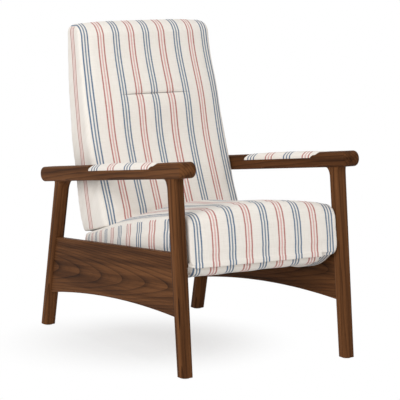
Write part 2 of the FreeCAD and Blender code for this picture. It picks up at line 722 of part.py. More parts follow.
RAIL_OUTER = "(seat_half_width - seat_skin)"
RAIL_INNER = "(seat_half_width - seat_skin - rail_thick)"
FRAME_FRONT = "seat_front_padding"
FRAME_REAR = "(seat_length - seat_rear_padding)"
STRAP_LEVEL = "(seat_rail_height + 2 * strap_thick)"
PLATE_OUTER = RAIL_INNER
PLATE_INNER = f"({RAIL_INNER} - plate_thick)"
PIVOT_V, PIVOT_W = deck_point("pivot_y", "pivot_z")
PLATE_FRONT = f"({PIVOT_V} - plate_length)"
SEAT_STATIONS = (0, 0.25, 0.5, 0.75, 1)
NOSE_ANGLES = (0, 30, 60, 90)


def seat_edge_height(along):
    """Height of the seat's side edge above the deck at a distance from its front."""
    share = along / number("seat_length")
    return number("seat_front_height") - number("seat_rear_drop") * share ** 2


def seat_crown_height(along):
    """Rise of the seat's middle at a distance from its front: it fades out under the back."""
    share = min(1, max(0, along / number("seat_length") / 0.78))
    fade = share ** 2 * (3 - 2 * share)
    return number("seat_crown") + (number("seat_rear_crown") - number("seat_crown")) * fade


def cushion_section(half, low, high, crown, low_corner, high_corner):
    """Closed wire of a cushion's section in the XZ plane, flat below and crowned above."""
    def corner(sign, height, radius, up):
        turn = radius * (1 - math.sqrt(0.5))
        side_end = Vector(sign * half, 0, height - up * radius)
        flat_end = Vector(sign * (half - radius), 0, height)
        middle = Vector(sign * (half - turn), 0, height - up * turn)
        return side_end, middle, flat_end

    right_low = corner(1, low, low_corner, -1)
    right_high = corner(1, high, high_corner, 1)
    left_high = corner(-1, high, high_corner, 1)
    left_low = corner(-1, low, low_corner, -1)
    crest = Vector(0, 0, high + crown)
    edges = [
        Part.LineSegment(left_low[2], right_low[2]),
        Part.Arc(right_low[2], right_low[1], right_low[0]),
        Part.LineSegment(right_low[0], right_high[0]),
        Part.Arc(right_high[0], right_high[1], right_high[2]),
        Part.Arc(right_high[2], crest, left_high[2]),
        Part.Arc(left_high[2], left_high[1], left_high[0]),
        Part.LineSegment(left_high[0], left_low[0]),
        Part.Arc(left_low[0], left_low[1], left_low[2]),
    ]
    return Part.Wire([edge.toShape() for edge in edges])


def seat_section(along, drop):
    """Section of the seat cushion, its top lowered by the round of the front edge."""
    length = number("seat_length")
    half = number("seat_half_width") - number("seat_waist") * math.sin(math.pi * along / length)
    nearness = math.exp(-along / number("seat_corner"))
    edge = number("seat_edge")
    low_corner = edge + (number("seat_corner") - edge) * nearness
    crown = seat_crown_height(along) * (1 - 0.75 * drop / number("seat_nose"))
    wire = cushion_section(half, number("cloth_gap"), seat_edge_height(along) - drop, crown, low_corner, edge)
    wire.Placement = Placement(Vector(0, along, 0), Rotation())
    return wire


def solid_box(low, high):
    """A plain box between two corners given as formulas."""
    start = point(low)
    size = point(high) - start
    return Part.makeBox(size.x, size.y, size.z, start)


def make_seat_cushion():
    """Crowned seat cushion with a round front edge, hollow below for its frame."""
    nose = number("seat_nose")
    length = number("seat_length")
    front_edge = []
    for angle in NOSE_ANGLES:
        along = nose * (1 - math.cos(math.radians(angle)))
        front_edge.append(seat_section(along, nose * (1 - math.sin(math.radians(angle)))))
    deck = [seat_section(nose + (length - nose) * share, 0) for share in SEAT_STATIONS]
    shape = Part.makeLoft(front_edge, True, False).fuse(Part.makeLoft(deck, True, False))
    gap = "cloth_gap"
    frame_room = solid_box((f"-({RAIL_OUTER} + {gap})", f"{FRAME_FRONT} - {gap}", f"-{OVERSHOOT}"),
                           (f"{RAIL_OUTER} + {gap}", f"{FRAME_REAR} + {gap}", f"{STRAP_LEVEL} + {gap}"))
    shape = shape.cut(frame_room)
    for _, side in SIDES:
        near, far = span(side, f"{PLATE_INNER} - 2 * slot_room", f"{PLATE_OUTER} + slot_room")
        slot = solid_box((near, f"{PLATE_FRONT} - slot_room", f"-{OVERSHOOT}"),
                         (far, f"seat_length + {OVERSHOOT}", f"seat_front_height + {OVERSHOOT}"))
        shape = shape.cut(slot)
    solid("seat_cushion", shape, deck_frame)


def make_seat_rails():
    """Wooden frame under the seat cushion."""
    for side_name, side in SIDES:
        body = new_body(f"{side_name}_seat_rail", deck_frame)
        near, far = span(side, RAIL_INNER, RAIL_OUTER)
        box(body, f"{side_name}_seat_rail_board", (near, FRAME_FRONT, "0"),
            (far, FRAME_REAR, "seat_rail_height"))
    body = new_body("front_seat_rail", deck_frame)
    box(body, "front_seat_rail_board", (f"-{RAIL_INNER}", FRAME_FRONT, "-front_rail_drop"),
        (RAIL_INNER, f"{FRAME_FRONT} + rail_thick", "seat_rail_height"))
    body = new_body("rear_seat_rail", deck_frame)
    box(body, "rear_seat_rail_board", (f"-{PLATE_INNER}", f"{FRAME_REAR} - rail_thick", "0"),
        (PLATE_INNER, FRAME_REAR, "seat_rail_height"))


def strap_starts(low, high, pitch):
    """Evenly spaced starts of straps centred between two limits."""
    width = number("strap_width")
    room = high - low - width
    count = int(room // pitch) + 1
    first = low + (room - (count - 1) * pitch) / 2
    return [first + index * pitch for index in range(count)]


def make_seat_straps():
    """Elastic straps over the seat's frame: cross straps below, lengthwise straps above."""
    members = []
    front, rear = number(FRAME_FRONT), number(PLATE_FRONT)
    for index, start in enumerate(strap_starts(front, rear, number("cross_strap_pitch"))):
        members.append(loose_box(
            f"cross_strap_{index}", (f"-{RAIL_OUTER}", str(start), "seat_rail_height"),
            (RAIL_OUTER, f"{start} + strap_width", "seat_rail_height + strap_thick")))
    reach = number(PLATE_INNER)
    for index, start in enumerate(strap_starts(-reach, reach, number("long_strap_pitch"))):
        members.append(loose_box(
            f"long_strap_{index}", (str(start), FRAME_FRONT, "seat_rail_height + strap_thick"),
            (f"{start} + strap_width", FRAME_REAR, STRAP_LEVEL)))
    group("seat_straps", members, deck_frame)


CHANNEL_INNER = f"({INNER_FACE} - channel_depth)"
WEB_INNER = f"({INNER_FACE} - channel_wall)"
CHANNEL_LOW = "(-runner_offset - runner_height / 2 - runner_gap)"
CHANNEL_HIGH = "(-runner_offset + runner_height / 2 + runner_gap)"
RUNNER_OUTER = f"({WEB_INNER} - runner_gap)"
RUNNER_INNER = f"({RUNNER_OUTER} - runner_width)"
BAR_OUTER = f"({RUNNER_INNER} + bar_in_runner)"
BAR_INNER = f"({BAR_OUTER} - bar_width)"
FRONT_STOP_REAR = "(front_runner - glide_travel - stop_gap)"
REAR_STOP_FRONT = "(rear_runner + runner_length + stop_gap)"
CHANNEL_SCREW_SHARES = (0.06, 0.5, 0.94)


def channel_screws():
    """Distances along the deck of the screws that hold a base rail."""
    front, rear = number("channel_front"), number("channel_rear")
    return [front + (rear - front) * share for share in CHANNEL_SCREW_SHARES]


def make_base_rail(side_name, side):
    """Steel channel on the side panel's inner face."""
    body = new_body(f"{side_name}_base_rail", deck_frame)
    near, far = span(side, CHANNEL_INNER, INNER_FACE)
    box(body, f"{side_name}_channel_blank", (near, "channel_front", f"{CHANNEL_LOW} - channel_wall"),
        (far, "channel_rear", f"{CHANNEL_HIGH} + channel_wall"))
    near, far = span(side, f"{CHANNEL_INNER} - channel_wall", WEB_INNER)
    box(body, f"{side_name}_channel_room", (near, "channel_front - channel_wall", CHANNEL_LOW),
        (far, "channel_rear + channel_wall", CHANNEL_HIGH), cut=True)
    for index, along in enumerate(channel_screws()):
        start_x = span(side, WEB_INNER, INNER_FACE)[0]
        item = body.newObject("PartDesign::SubtractiveCone", f"{side_name}_countersink_{index}")
        set_screw_head(item, side, start_x, along)


def set_screw_head(item, side, start_x, along):
    """Size and place a cone that fills the base rail's web at a screw."""
    wide, narrow = "screw_head", "screw_radius + glue_gap"
    bind(item, "Radius1", wide if side > 0 else narrow)
    bind(item, "Radius2", narrow if side > 0 else wide)
    bind(item, "Height", "channel_wall")
    item.Placement = Placement(Vector(), TURNS["x"])
    for prop, formula in zip("xyz", (start_x, str(along), "-runner_offset")):
        bind(item, f"Placement.Base.{prop}", formula)


def make_base_rail_screws():
    """Countersunk screws that hold the base rails to the side panels."""
    members = []
    for side_name, side in SIDES:
        for index, along in enumerate(channel_screws()):
            name = f"rail_screw_{side_name}_{index}"
            head = doc.addObject("Part::Cone", f"{name}_head")
            set_screw_head(head, side, span(side, WEB_INNER, INNER_FACE)[0], along)
            shank_start = span(side, INNER_FACE, f"{INNER_FACE} + screw_length")[0]
            shank = loose_rod(f"{name}_shank", (shank_start, str(along), "-runner_offset"), "x",
                              "screw_radius", "screw_length")
            item = doc.addObject("Part::Fuse", name)
            item.Base = head
            item.Tool = shank
            members.append(item)
    group("base_rail_screws", members, deck_frame)


def make_glide_stops():
    """Rubber stops in the base rails, at both ends of the seat's travel."""
    members = []
    for side_name, side in SIDES:
        near, far = span(side, f"{BAR_OUTER} + stop_gap", WEB_INNER)
        members.append(loose_box(f"front_stop_{side_name}", (near, "channel_front", CHANNEL_LOW),
                                 (far, FRONT_STOP_REAR, CHANNEL_HIGH)))
        members.append(loose_box(f"rear_stop_{side_name}", (near, REAR_STOP_FRONT, CHANNEL_LOW),
                                 (far, "channel_rear", CHANNEL_HIGH)))
    group("glide_stops", members, deck_frame)


def make_slide_bar(side_name, side):
    """Steel bar under the seat's side rail that carries the runners."""
    body = new_body(f"{side_name}_slide_bar", deck_frame)
    near, far = span(side, BAR_INNER, BAR_OUTER)
    box(body, f"{side_name}_slide_bar_strip", (near, "front_runner - bar_lead", "-bar_thick"),
        (far, "rear_runner + runner_length", "0"))


def make_runners():
    """Nylon runners on the slide bars, running in the base rails."""
    members = []
    for side_name, side in SIDES:
        for place in STRETCHERS:
            near, far = span(side, RUNNER_INNER, RUNNER_OUTER)
            name = f"runner_{side_name}_{place}"
            block = loose_box(f"{name}_block", (near, f"{place}_runner", f"{CHANNEL_LOW} + runner_gap"),
                              (far, f"{place}_runner + runner_length", f"{CHANNEL_HIGH} - runner_gap"))
            near, far = span(side, f"{RUNNER_INNER} - bar_thick", BAR_OUTER)
            room = loose_box(f"{name}_grip", (near, f"{place}_runner - bar_thick", "-bar_thick"),
                             (far, f"{place}_runner + runner_length + bar_thick", "0"))
            item = doc.addObject("Part::Cut", name)
            item.Base = block
            item.Tool = room
            members.append(item)
    group("nylon_runners", members, deck_frame)


def make_recline_plate(side_name, side):
    """Steel plate on the seat's side rail with an eye for the recline rivet."""
    body = new_body(f"{side_name}_recline_plate", deck_frame)
    near, _ = span(side, PLATE_INNER, PLATE_OUTER)
    lean = "eye_radius * sqrt(0.5)"
    sketch = outline(body, f"{side_name}_plate_outline", near, [
        (PLATE_FRONT, "seat_rail_height * 0.12"),
        (f"{PIVOT_V} - eye_radius", "seat_rail_height * 0.12"),
        (f"{PIVOT_V} + {lean}", f"{PIVOT_W} - {lean}"),
        (f"{PIVOT_V} - {lean}", f"{PIVOT_W} + {lean}"),
        (PLATE_FRONT, "seat_rail_height * 0.88"),
    ])
    pad(body, f"{side_name}_plate_blade", sketch, "plate_thick")
    rod(body, f"{side_name}_plate_eye", (near, PIVOT_V, PIVOT_W), "x", "eye_radius", "plate_thick")
    rod(body, f"{side_name}_plate_bore", (near, PIVOT_V, PIVOT_W), "x",
        "rivet_radius + pivot_clearance", "plate_thick", cut=True)


BRACKET_OUTER = f"({PLATE_INNER} - plate_gap)"
BRACKET_INNER = f"({BRACKET_OUTER} - plate_thick)"


def make_rivets():
    """Recline rivets: a shank through plate and bracket, with a head on each side."""
    members = []
    for side_name, side in SIDES:
        name = f"rivet_{side_name}"
        rods = []
        for kind, near, far, radius in (
                ("shank", f"{BRACKET_INNER} - plate_gap", PLATE_OUTER, "rivet_radius"),
                ("head", PLATE_OUTER, f"{PLATE_OUTER} + rivet_head_thick", "rivet_head"),
                ("tail", f"{BRACKET_INNER} - plate_gap - rivet_head_thick", f"{BRACKET_INNER} - plate_gap",
                 "rivet_head")):
            low, high = span(side, near, far)
            rods.append(loose_rod(f"{name}_{kind}", (low, PIVOT_V, PIVOT_W), "x", radius, f"{high} - {low}"))
        item = doc.addObject("Part::MultiFuse", name)
        item.Shapes = rods
        members.append(item)
    group("recline_rivets", members, deck_frame)


# Reclining back

POST_OUTER = BRACKET_INNER
POST_INNER = f"({BRACKET_INNER} - rail_thick)"
POST_REAR = "(-post_setback)"
POST_FRONT = "(-post_setback - post_depth)"
BACK_RAILS = {
    "bottom": "post_low",
    "lumbar": "(post_low + post_high) / 2 - back_rail_height / 2",
    "top": "post_high - back_rail_height",
}


def make_back_frame():
    """Wooden posts and rails inside the back cushion."""
    for side_name, side in SIDES:
        body = new_body(f"{side_name}_back_post", back_frame)
        near, far = span(side, POST_INNER, POST_OUTER)
        box(body, f"{side_name}_back_post_board", (near, POST_FRONT, "post_low"),
            (far, POST_REAR, "post_high"))
    for place, low in BACK_RAILS.items():
        body = new_body(f"{place}_back_rail", back_frame)
        box(body, f"{place}_back_rail_board", (f"-{POST_INNER}", f"{POST_REAR} - rail_thick", low),
            (POST_INNER, POST_REAR, f"{low} + back_rail_height"))


def make_back_straps():
    """Elastic straps across the front of the back's posts."""
    members = []
    starts = strap_starts(number("post_low"), number("post_high"), number("back_strap_pitch"))
    for index, start in enumerate(starts):
        members.append(loose_box(
            f"back_strap_{index}", (f"-{POST_OUTER}", f"{POST_FRONT} - strap_thick", str(start)),
            (POST_OUTER, POST_FRONT, f"{start} + strap_width")))
    group("back_straps", members, back_frame)


def make_back_bracket(side_name, side):
    """Steel bracket on the back's post with an eye round the recline rivet."""
    body = new_body(f"{side_name}_back_bracket", back_frame)
    near, _ = span(side, BRACKET_INNER, BRACKET_OUTER)
    margin = "plate_thick"
    sketch = outline(body, f"{side_name}_bracket_outline", near, [
        ("-eye_radius", "0"),
        ("eye_radius", "0"),
        (f"{POST_REAR} - {margin}", "bracket_neck"),
        (f"{POST_REAR} - {margin}", "bracket_height"),
        (f"{POST_FRONT} + {margin}", "bracket_height"),
        (f"{POST_FRONT} + {margin}", "bracket_neck"),
    ])
    pad(body, f"{side_name}_bracket_blade", sketch, "plate_thick")
    rod(body, f"{side_name}_bracket_eye", (near, "0", "0"), "x", "eye_radius", "plate_thick")
    rod(body, f"{side_name}_bracket_bore", (near, "0", "0"), "x",
        "rivet_radius + pivot_clearance", "plate_thick", cut=True)


# Stations of the back's side view, from the seat to the top, with the sheet's half width at each.
BACK_STATIONS = {
    "low": "back_low_width",
    "lumbar": "back_lumbar_width",
    "middle": "back_middle_width",
    "shoulder": "back_high_width",
    "top": "back_high_width",
}
TOP_ANGLES = (0, 30, 55, 75)


def back_section(front, rear, half, inset):
    """Section of the back cushion between two points of the side view, drawn in by an inset."""
    depth = (rear - front).Length - 2 * inset
    edge = max(number("back_edge") - inset, number("back_rear_edge") / 2)
    wire = cushion_section(half - inset, 0, depth, number("back_crown"), number("back_rear_edge") / 2, edge)
    middle = (front + rear) * 0.5
    forward = (front - rear).normalize()
    turn = math.degrees(math.atan2(-forward.y, forward.z))
    wire.Placement = Placement(middle - forward * (depth / 2), Rotation(X_AXIS, turn))
    return wire


def make_back_cushion():
    """Curved back cushion with a crowned front, a sewn pull and room for its frame."""
    sections = []
    lift = Vector(0, number("sin(glide_angle) * back_seat_gap"), number("cos(glide_angle) * back_seat_gap"))
    for station, half in BACK_STATIONS.items():
        front = point(("0", f"{station}_front_y", f"{station}_front_z"))
        rear = point(("0", f"{station}_rear_y", f"{station}_rear_z"))
        if station == "low":
            front, rear = front + lift, rear + lift
        sections.append(back_section(front, rear, number(half), 0))
    round_size = number("back_top_round")
    upward = X_AXIS.cross(rear - front).normalize()
    top = []
    for angle in TOP_ANGLES:
        rise = upward * round_size * math.sin(math.radians(angle))
        inset = round_size * (1 - math.cos(math.radians(angle)))
        top.append(back_section(front + rise, rear + rise, number(half), inset))
    shape = Part.makeLoft(sections, True, False).fuse(Part.makeLoft(top, True, False))
    room_front = f"{POST_FRONT} - strap_thick - cloth_gap"
    room = solid_box((f"-({BRACKET_OUTER} + plate_gap)", room_front, f"-{OVERSHOOT}"),
                     (f"{BRACKET_OUTER} + plate_gap", f"{POST_REAR} + cloth_gap", "post_high + cloth_gap"))
    room.Placement = back_frame.multiply(room.Placement)
    shape = shape.cut(room)
    share = "((pull_height - middle_front_z) / (shoulder_front_z - middle_front_z))"
    pull_y = number(f"middle_front_y + (shoulder_front_y - middle_front_y) * {share}")
    out = number("back_crown + pull_radius - pull_depth")
    half_pull = number("pull_half_length")
    groove = Part.makeCylinder(number("pull_radius"), 2 * half_pull,
                               Vector(-half_pull, pull_y - out, number("pull_height")), X_AXIS)
    solid("back_cushion", shape.cut(groove))


# Footrest

LEAF_TOP = {"seat": "(hinge_w + leaf_gap + leaf_thick)", "footrest": "(hinge_w - leaf_gap)"}
BOARD_TOP = "(hinge_w - leaf_gap - leaf_thick)"
BOARD_LOW = f"({BOARD_TOP} - board_thick)"
BOARD_REAR = "(board_front + board_length)"


def make_hinge_leaf(owner, parity):
    """One leaf of the footrest's piano hinge with every other knuckle."""
    height = LEAF_TOP[owner]
    pin = point(("0", "hinge_v", "hinge_w"))
    length = number("2 * hinge_half_length")
    count = int(number("knuckle_count"))
    pitch = length / count
    gap = number("knuckle_gap")
    radius = number("knuckle_radius")
    shape = solid_box(("-hinge_half_length", "hinge_v + knuckle_radius", f"{height} - leaf_thick"),
                      ("hinge_half_length", "hinge_v + leaf_width", height))
    for index in range(parity, count, 2):
        start = -length / 2 + index * pitch + gap / 2
        knuckle = Part.makeCylinder(radius, pitch - gap, Vector(start, pin.y, pin.z), X_AXIS)
        low = number(f"{height} - leaf_thick")
        tongue = Part.makeBox(pitch - gap, radius + 1, number("leaf_thick"), Vector(start, pin.y, low))
        shape = shape.fuse(knuckle).fuse(tongue)
    bore = Part.makeCylinder(number("hinge_pin_radius + pivot_clearance"), length,
                             Vector(-length / 2, pin.y, pin.z), X_AXIS)
    solid(f"{owner}_hinge_leaf", shape.cut(bore).removeSplitter(), deck_frame)


def make_hinge_pin():
    """Pin of the footrest's hinge."""
    body = new_body("footrest_hinge_pin", deck_frame)
    rod(body, "hinge_pin_wire", ("-hinge_half_length", "hinge_v", "hinge_w"), "x", "hinge_pin_radius",
        "2 * hinge_half_length")


def make_footrest_board():
    """Plywood board of the footrest with rounded free corners."""
    body = new_body("footrest_board", deck_frame)
    box(body, "footrest_board_blank", ("-footrest_half_width", "board_front", BOARD_LOW),
        ("footrest_half_width", BOARD_REAR, BOARD_TOP))
    rear = number(BOARD_REAR) - 0.01
    fillet(body, "footrest_board_corners", "board_corner",
           lambda edge: all(v.Y > rear for v in edge.Vertexes)
           and abs(edge.Vertexes[0].Z - edge.Vertexes[-1].Z) > 1)


PAD_STATIONS = (0, 0.25, 0.5, 0.75, 1)


def make_footrest_pad():
    """Padding under the stowed footrest board, crowned along and across."""
    start = number("board_front + rest_pad_front")
    length = number(f"{BOARD_REAR}") - start
    rim = number("rest_pad_rim")
    rise = number("rest_pad_thick") - rim
    half = number("footrest_half_width")
    sections = []
    for share in PAD_STATIONS:
        swell = 1 - (2 * share - 1) ** 2
        height = rim + rise * swell * 0.6
        wire = cushion_section(half, 0, height, rise * (0.05 + 0.35 * swell), rim * 0.2, rim * 0.6)
        wire.Placement = Placement(Vector(0, start + length * share, number(BOARD_LOW) - number("cloth_gap")),
                                   Rotation(Vector(0, 1, 0), 180))
        sections.append(wire)
    solid("footrest_pad", Part.makeLoft(sections, True, False), deck_frame)


FLAP_STATIONS = (-1, -0.8, -0.55, -0.3, 0, 0, 0.3, 0.55, 0.8, 1)


def flap_section(across, front, middle, rear):
    """Section of the flap at a distance from the chair's centre: a band along an arc."""
    down = Vector(0, 0, -number("flap_thick"))
    upper = [Vector(across, *place) for place in (front, middle, rear)]
    lower = [place + down for place in upper]
    edges = [
        Part.Arc(*upper),
        Part.LineSegment(upper[2], lower[2]),
        Part.Arc(lower[2], lower[1], lower[0]),
        Part.LineSegment(lower[0], upper[0]),
    ]
    return Part.Wire([edge.toShape() for edge in edges])


def make_flap():
    """Fabric flap from the seat's front edge over the footrest, with loose sagging ends."""
    under = number(f"{BOARD_LOW} - flap_slack")
    sag = number("flap_sag")
    loop_rear = number("flap_loop_rear")
    tight = ((number("flap_start"), 0), (number("hinge_v"), under - number("flap_slack / 2")),
             (number("flap_reach"), under))
    loose = ((number("flap_loose_start"), 0), (loop_rear / 2, -sag), (loop_rear, -sag))
    hold = number("flap_tight_width")
    spread = number("flap_half_width") - hold
    sections = []
    for index, share in enumerate(FLAP_STATIONS):
        side = -1 if index < len(FLAP_STATIONS) / 2 else 1
        places = [tuple(a + (b - a) * share ** 2 for a, b in zip(held, free))
                  for held, free in zip(tight, loose)]
        sections.append(flap_section(side * hold + share * spread, *places))
    solid("leg_flap", Part.makeLoft(sections, True, True), deck_frame)


# Assembly

for side_name, side in SIDES:
    for leg_name in LEGS:
        make_leg(side_name, side, leg_name)
    make_arm(side_name, side)
    make_arm_pad(side_name, side)
    make_panel(side_name, side)
    make_base_rail(side_name, side)
    make_slide_bar(side_name, side)
    make_recline_plate(side_name, side)
    make_back_bracket(side_name, side)
make_tenons()
make_panel_dowels()
make_floor_glides()
make_stretchers()
make_base_rail_screws()
make_glide_stops()
make_seat_rails()
make_seat_straps()
make_seat_cushion()
make_runners()
make_rivets()
make_back_frame()
make_back_straps()
make_back_cushion()
make_hinge_leaf("seat", 0)
make_hinge_leaf("footrest", 1)
make_hinge_pin()
make_footrest_board()
make_footrest_pad()
make_flap()

doc.recompute()
for item in doc.Objects:
    if "Invalid" in item.State or "Error" in item.State:
        raise RuntimeError(f"{item.Label} failed: {item.State}")
for item in parts:
    if item.Shape.isNull() or not item.Shape.isValid() or not item.Shape.Solids:
        raise RuntimeError(f"{item.Label} has no sound solid")
os.makedirs("parts", exist_ok=True)
for item in parts:
    item.Shape.exportStep(f"parts/{item.Label}.step")
print(f"{len(parts)} sub-parts written")
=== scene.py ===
"""Studio scene of a wooden-framed push-back recliner in striped linen.

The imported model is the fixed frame: the walnut side frames, rails, rivets and hinges are its own nodes and
only get a finish here. The upholstery is made as swollen covers that stand for the plain cushion solids.
Metres, +Z up, the sitter faces -Y.
"""
from __future__ import annotations

import json
import logging
import math
from dataclasses import dataclass, field
from enum import Enum
from functools import partial
from typing import Any, Callable

import bpy
import numpy as np
from mathutils import Matrix, Vector

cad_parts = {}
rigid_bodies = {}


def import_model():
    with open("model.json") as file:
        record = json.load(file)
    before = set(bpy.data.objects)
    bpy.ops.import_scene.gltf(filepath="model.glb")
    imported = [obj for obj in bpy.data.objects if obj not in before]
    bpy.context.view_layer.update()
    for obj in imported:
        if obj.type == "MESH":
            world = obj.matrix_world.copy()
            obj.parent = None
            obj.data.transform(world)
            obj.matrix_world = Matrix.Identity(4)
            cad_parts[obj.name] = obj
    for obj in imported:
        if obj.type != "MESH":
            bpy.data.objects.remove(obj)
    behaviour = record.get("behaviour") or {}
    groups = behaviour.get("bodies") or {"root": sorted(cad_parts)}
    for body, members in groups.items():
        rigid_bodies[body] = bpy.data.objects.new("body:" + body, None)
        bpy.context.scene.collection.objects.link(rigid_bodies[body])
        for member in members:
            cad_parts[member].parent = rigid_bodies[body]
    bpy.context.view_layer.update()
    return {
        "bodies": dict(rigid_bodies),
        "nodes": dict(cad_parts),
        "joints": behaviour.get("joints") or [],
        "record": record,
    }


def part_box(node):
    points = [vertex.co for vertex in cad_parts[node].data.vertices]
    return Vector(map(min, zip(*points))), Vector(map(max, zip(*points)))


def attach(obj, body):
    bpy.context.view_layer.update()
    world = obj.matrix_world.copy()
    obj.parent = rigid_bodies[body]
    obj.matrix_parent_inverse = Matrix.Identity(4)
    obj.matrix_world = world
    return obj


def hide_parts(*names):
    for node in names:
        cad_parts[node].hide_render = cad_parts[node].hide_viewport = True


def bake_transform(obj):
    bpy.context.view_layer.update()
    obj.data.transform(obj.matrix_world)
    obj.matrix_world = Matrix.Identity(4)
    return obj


log = logging.getLogger("recliner")

SIDES = {"left": -1, "right": 1}
CLOTH_MAP = "Cloth"
SEEN_RAYS = ("Is Camera Ray", "Is Glossy Ray", "Is Transmission Ray")
WHITE = (1.0, 1.0, 1.0, 1.0)
Piece = bpy.types.Object
Material = bpy.types.Material
Nodes = dict[str, Piece]
Span = tuple[float, float]
Place = tuple[float, float, float]
Colour = tuple[float, float, float, float]
Points = np.ndarray
ClothMap = Callable[[Points, Points, Points], Points]


def srgb(red: int, green: int, blue: int) -> Colour:
    """Turn a screen colour into the linear colour that shaders take.

    Args:
        red: Red from 0 to 255.
        green: Green from 0 to 255.
        blue: Blue from 0 to 255.

    Returns:
        The linear colour with full alpha.
    """
    def linear(level: int) -> float:
        """One channel, from 0 to 1."""
        share = level / 255
        return share / 12.92 if share <= 0.04045 else ((share + 0.055) / 1.055) ** 2.4

    return (linear(red), linear(green), linear(blue), 1.0)


def smooth(low: float, high: float, values: Any) -> Any:
    """Ease from 0 at low to 1 at high, for numbers or arrays."""
    share = np.clip((values - low) / (high - low), 0, 1)
    return share * share * (3 - 2 * share)


class Signal:
    """A shader socket that takes part in Python expressions by adding Math nodes."""

    def __init__(self, tree: "NodeTree", socket: bpy.types.NodeSocket) -> None:
        """Wrap an output socket of a node tree."""
        self.tree = tree
        self.socket = socket

    def math(self, operation: str, *others: Any) -> "Signal":
        """Add a Math node that takes this signal first.

        Args:
            operation: Name of the Math node's operation.
            others: Signals or numbers for the remaining sockets.

        Returns:
            The node's result.
        """
        inputs = dict(enumerate((self, *others)))
        return self.tree.node("ShaderNodeMath", {"operation": operation}, inputs)

    def __add__(self, other: Any) -> "Signal":
        """Add a signal or number."""
        return self.math("ADD", other)

    __radd__ = __add__

    def __sub__(self, other: Any) -> "Signal":
        """Subtract a signal or number."""
        return self.math("SUBTRACT", other)

    def __rsub__(self, other: Any) -> "Signal":
        """Subtract this signal from a number."""
        return (self * -1) + other

    def __mul__(self, other: Any) -> "Signal":
        """Multiply by a signal or number."""
        return self.math("MULTIPLY", other)

    __rmul__ = __mul__

    def __truediv__(self, other: float) -> "Signal":
        """Divide by a number."""
        return self * (1 / other)

    def __pow__(self, power: float) -> "Signal":
        """Raise to a power."""
        return self.math("POWER", power)

    def __abs__(self) -> "Signal":
        """Drop the sign."""
        return self.math("ABSOLUTE")

    def fade(self, start: float, end: float, low: float = 0.0, high: float = 1.0) -> "Signal":
        """Ease from one level to another between two values of this signal.

        Args:
            start: Value at which the result is low.
            end: Value at which the result is high.
            low: Result at the start.
            high: Result at the end.

        Returns:
            The eased signal.
        """
        settings = {"interpolation_type": "SMOOTHSTEP"}
        if start > end:
            start, end, low, high = end, start, high, low
        inputs = {"Value": self, "From Min": start, "From Max": end, "To Min": low, "To Max": high}
        return self.tree.node("ShaderNodeMapRange", settings, inputs)


class NodeTree:
    """Nodes and links of a material or of the world."""

    def __init__(self, tree: bpy.types.NodeTree) -> None:
        """Wrap a node tree."""
        self.nodes = tree.nodes
        self.links = tree.links

    def node(self, kind: str, settings: dict[str, Any], inputs: dict[Any, Any], output: Any = 0) -> Signal:
        """Add a node.

        Args:
            kind: Type of the node.
            settings: Properties that are set first.
            inputs: Values or signals of its sockets, by name or number.
            output: Name or number of the socket that is wanted.

        Returns:
            That output as a signal.
        """
        item = self.nodes.new(kind)
        for name, value in settings.items():
            setattr(item, name, value)
        for socket, value in inputs.items():
            if isinstance(value, Signal):
                self.links.new(value.socket, item.inputs[socket])
            else:
                item.inputs[socket].default_value = value
        return Signal(self, item.outputs[output])

    def split(self, vector: Signal) -> tuple[Signal, Signal, Signal]:
        """Take a vector apart into its three numbers."""
        first = self.node("ShaderNodeSeparateXYZ", {}, {0: vector})
        item = first.socket.node
        return tuple(Signal(self, item.outputs[index]) for index in range(3))

    def join(self, x: Any, y: Any, z: Any) -> Signal:
        """Put three numbers together as a vector."""
        return self.node("ShaderNodeCombineXYZ", {}, {0: x, 1: y, 2: z})

    def noise(self, place: Signal, scale: float, detail: float = 2.0, rough: float = 0.5) -> Signal:
        """Smooth noise around 0.5 over a place."""
        inputs = {"Vector": place, "Scale": scale, "Detail": detail, "Roughness": rough}
        return self.node("ShaderNodeTexNoise", {"noise_dimensions": "3D"}, inputs)

    def blend(self, first: Any, second: Any, share: Any) -> Signal:
        """Mix two colours by a share from 0 to 1."""
        settings = {"data_type": "RGBA", "clamp_factor": True}
        return self.node("ShaderNodeMix", settings, {0: share, 6: first, 7: second}, 2)

    def place(self) -> Signal:
        """Object coordinates."""
        return self.node("ShaderNodeTexCoord", {}, {}, "Object")

    def seen(self) -> Signal:
        """1 for rays that show a surface straight, mirrored or through glass, and 0 for its light."""
        straight, mirrored, through = (self.node("ShaderNodeLightPath", {}, {}, ray) for ray in SEEN_RAYS)
        return straight.math("MAXIMUM", mirrored).math("MAXIMUM", through)


class Shader(NodeTree):
    """Node tree of one material with a Principled surface."""

    def __init__(self, name: str, **surface: Any) -> None:
        """Start a material.

        Args:
            name: Name of the material.
            surface: Plain values of the Principled node, with spaces in socket names as underscores.
        """
        self.material = bpy.data.materials.new(name)
        self.material.use_nodes = True
        super().__init__(self.material.node_tree)
        self.surface = next(item for item in self.nodes if item.type == "BSDF_PRINCIPLED")
        for socket, value in surface.items():
            self.surface.inputs[socket.replace("_", " ")].default_value = value

    def feed(self, socket: str, value: Signal) -> None:
        """Link a signal to a socket of the surface."""
        self.links.new(value.socket, self.surface.inputs[socket])

    def bump(self, height: Signal, strength: float, distance: float) -> None:
        """Raise the surface by a height signal."""
        inputs = {"Height": height, "Strength": strength, "Distance": distance}
        self.feed("Normal", self.node("ShaderNodeBump", {}, inputs))

    def overlay(self, shade: Signal, share: Signal) -> None:
        """Mix another shader over the surface by a share from 0 to 1."""
        base = Signal(self, self.surface.outputs[0])
        mixed = self.node("ShaderNodeMixShader", {}, {0: share, 1: base, 2: shade})
        output = next(item for item in self.nodes if item.type == "OUTPUT_MATERIAL")
        self.links.new(mixed.socket, output.inputs["Surface"])


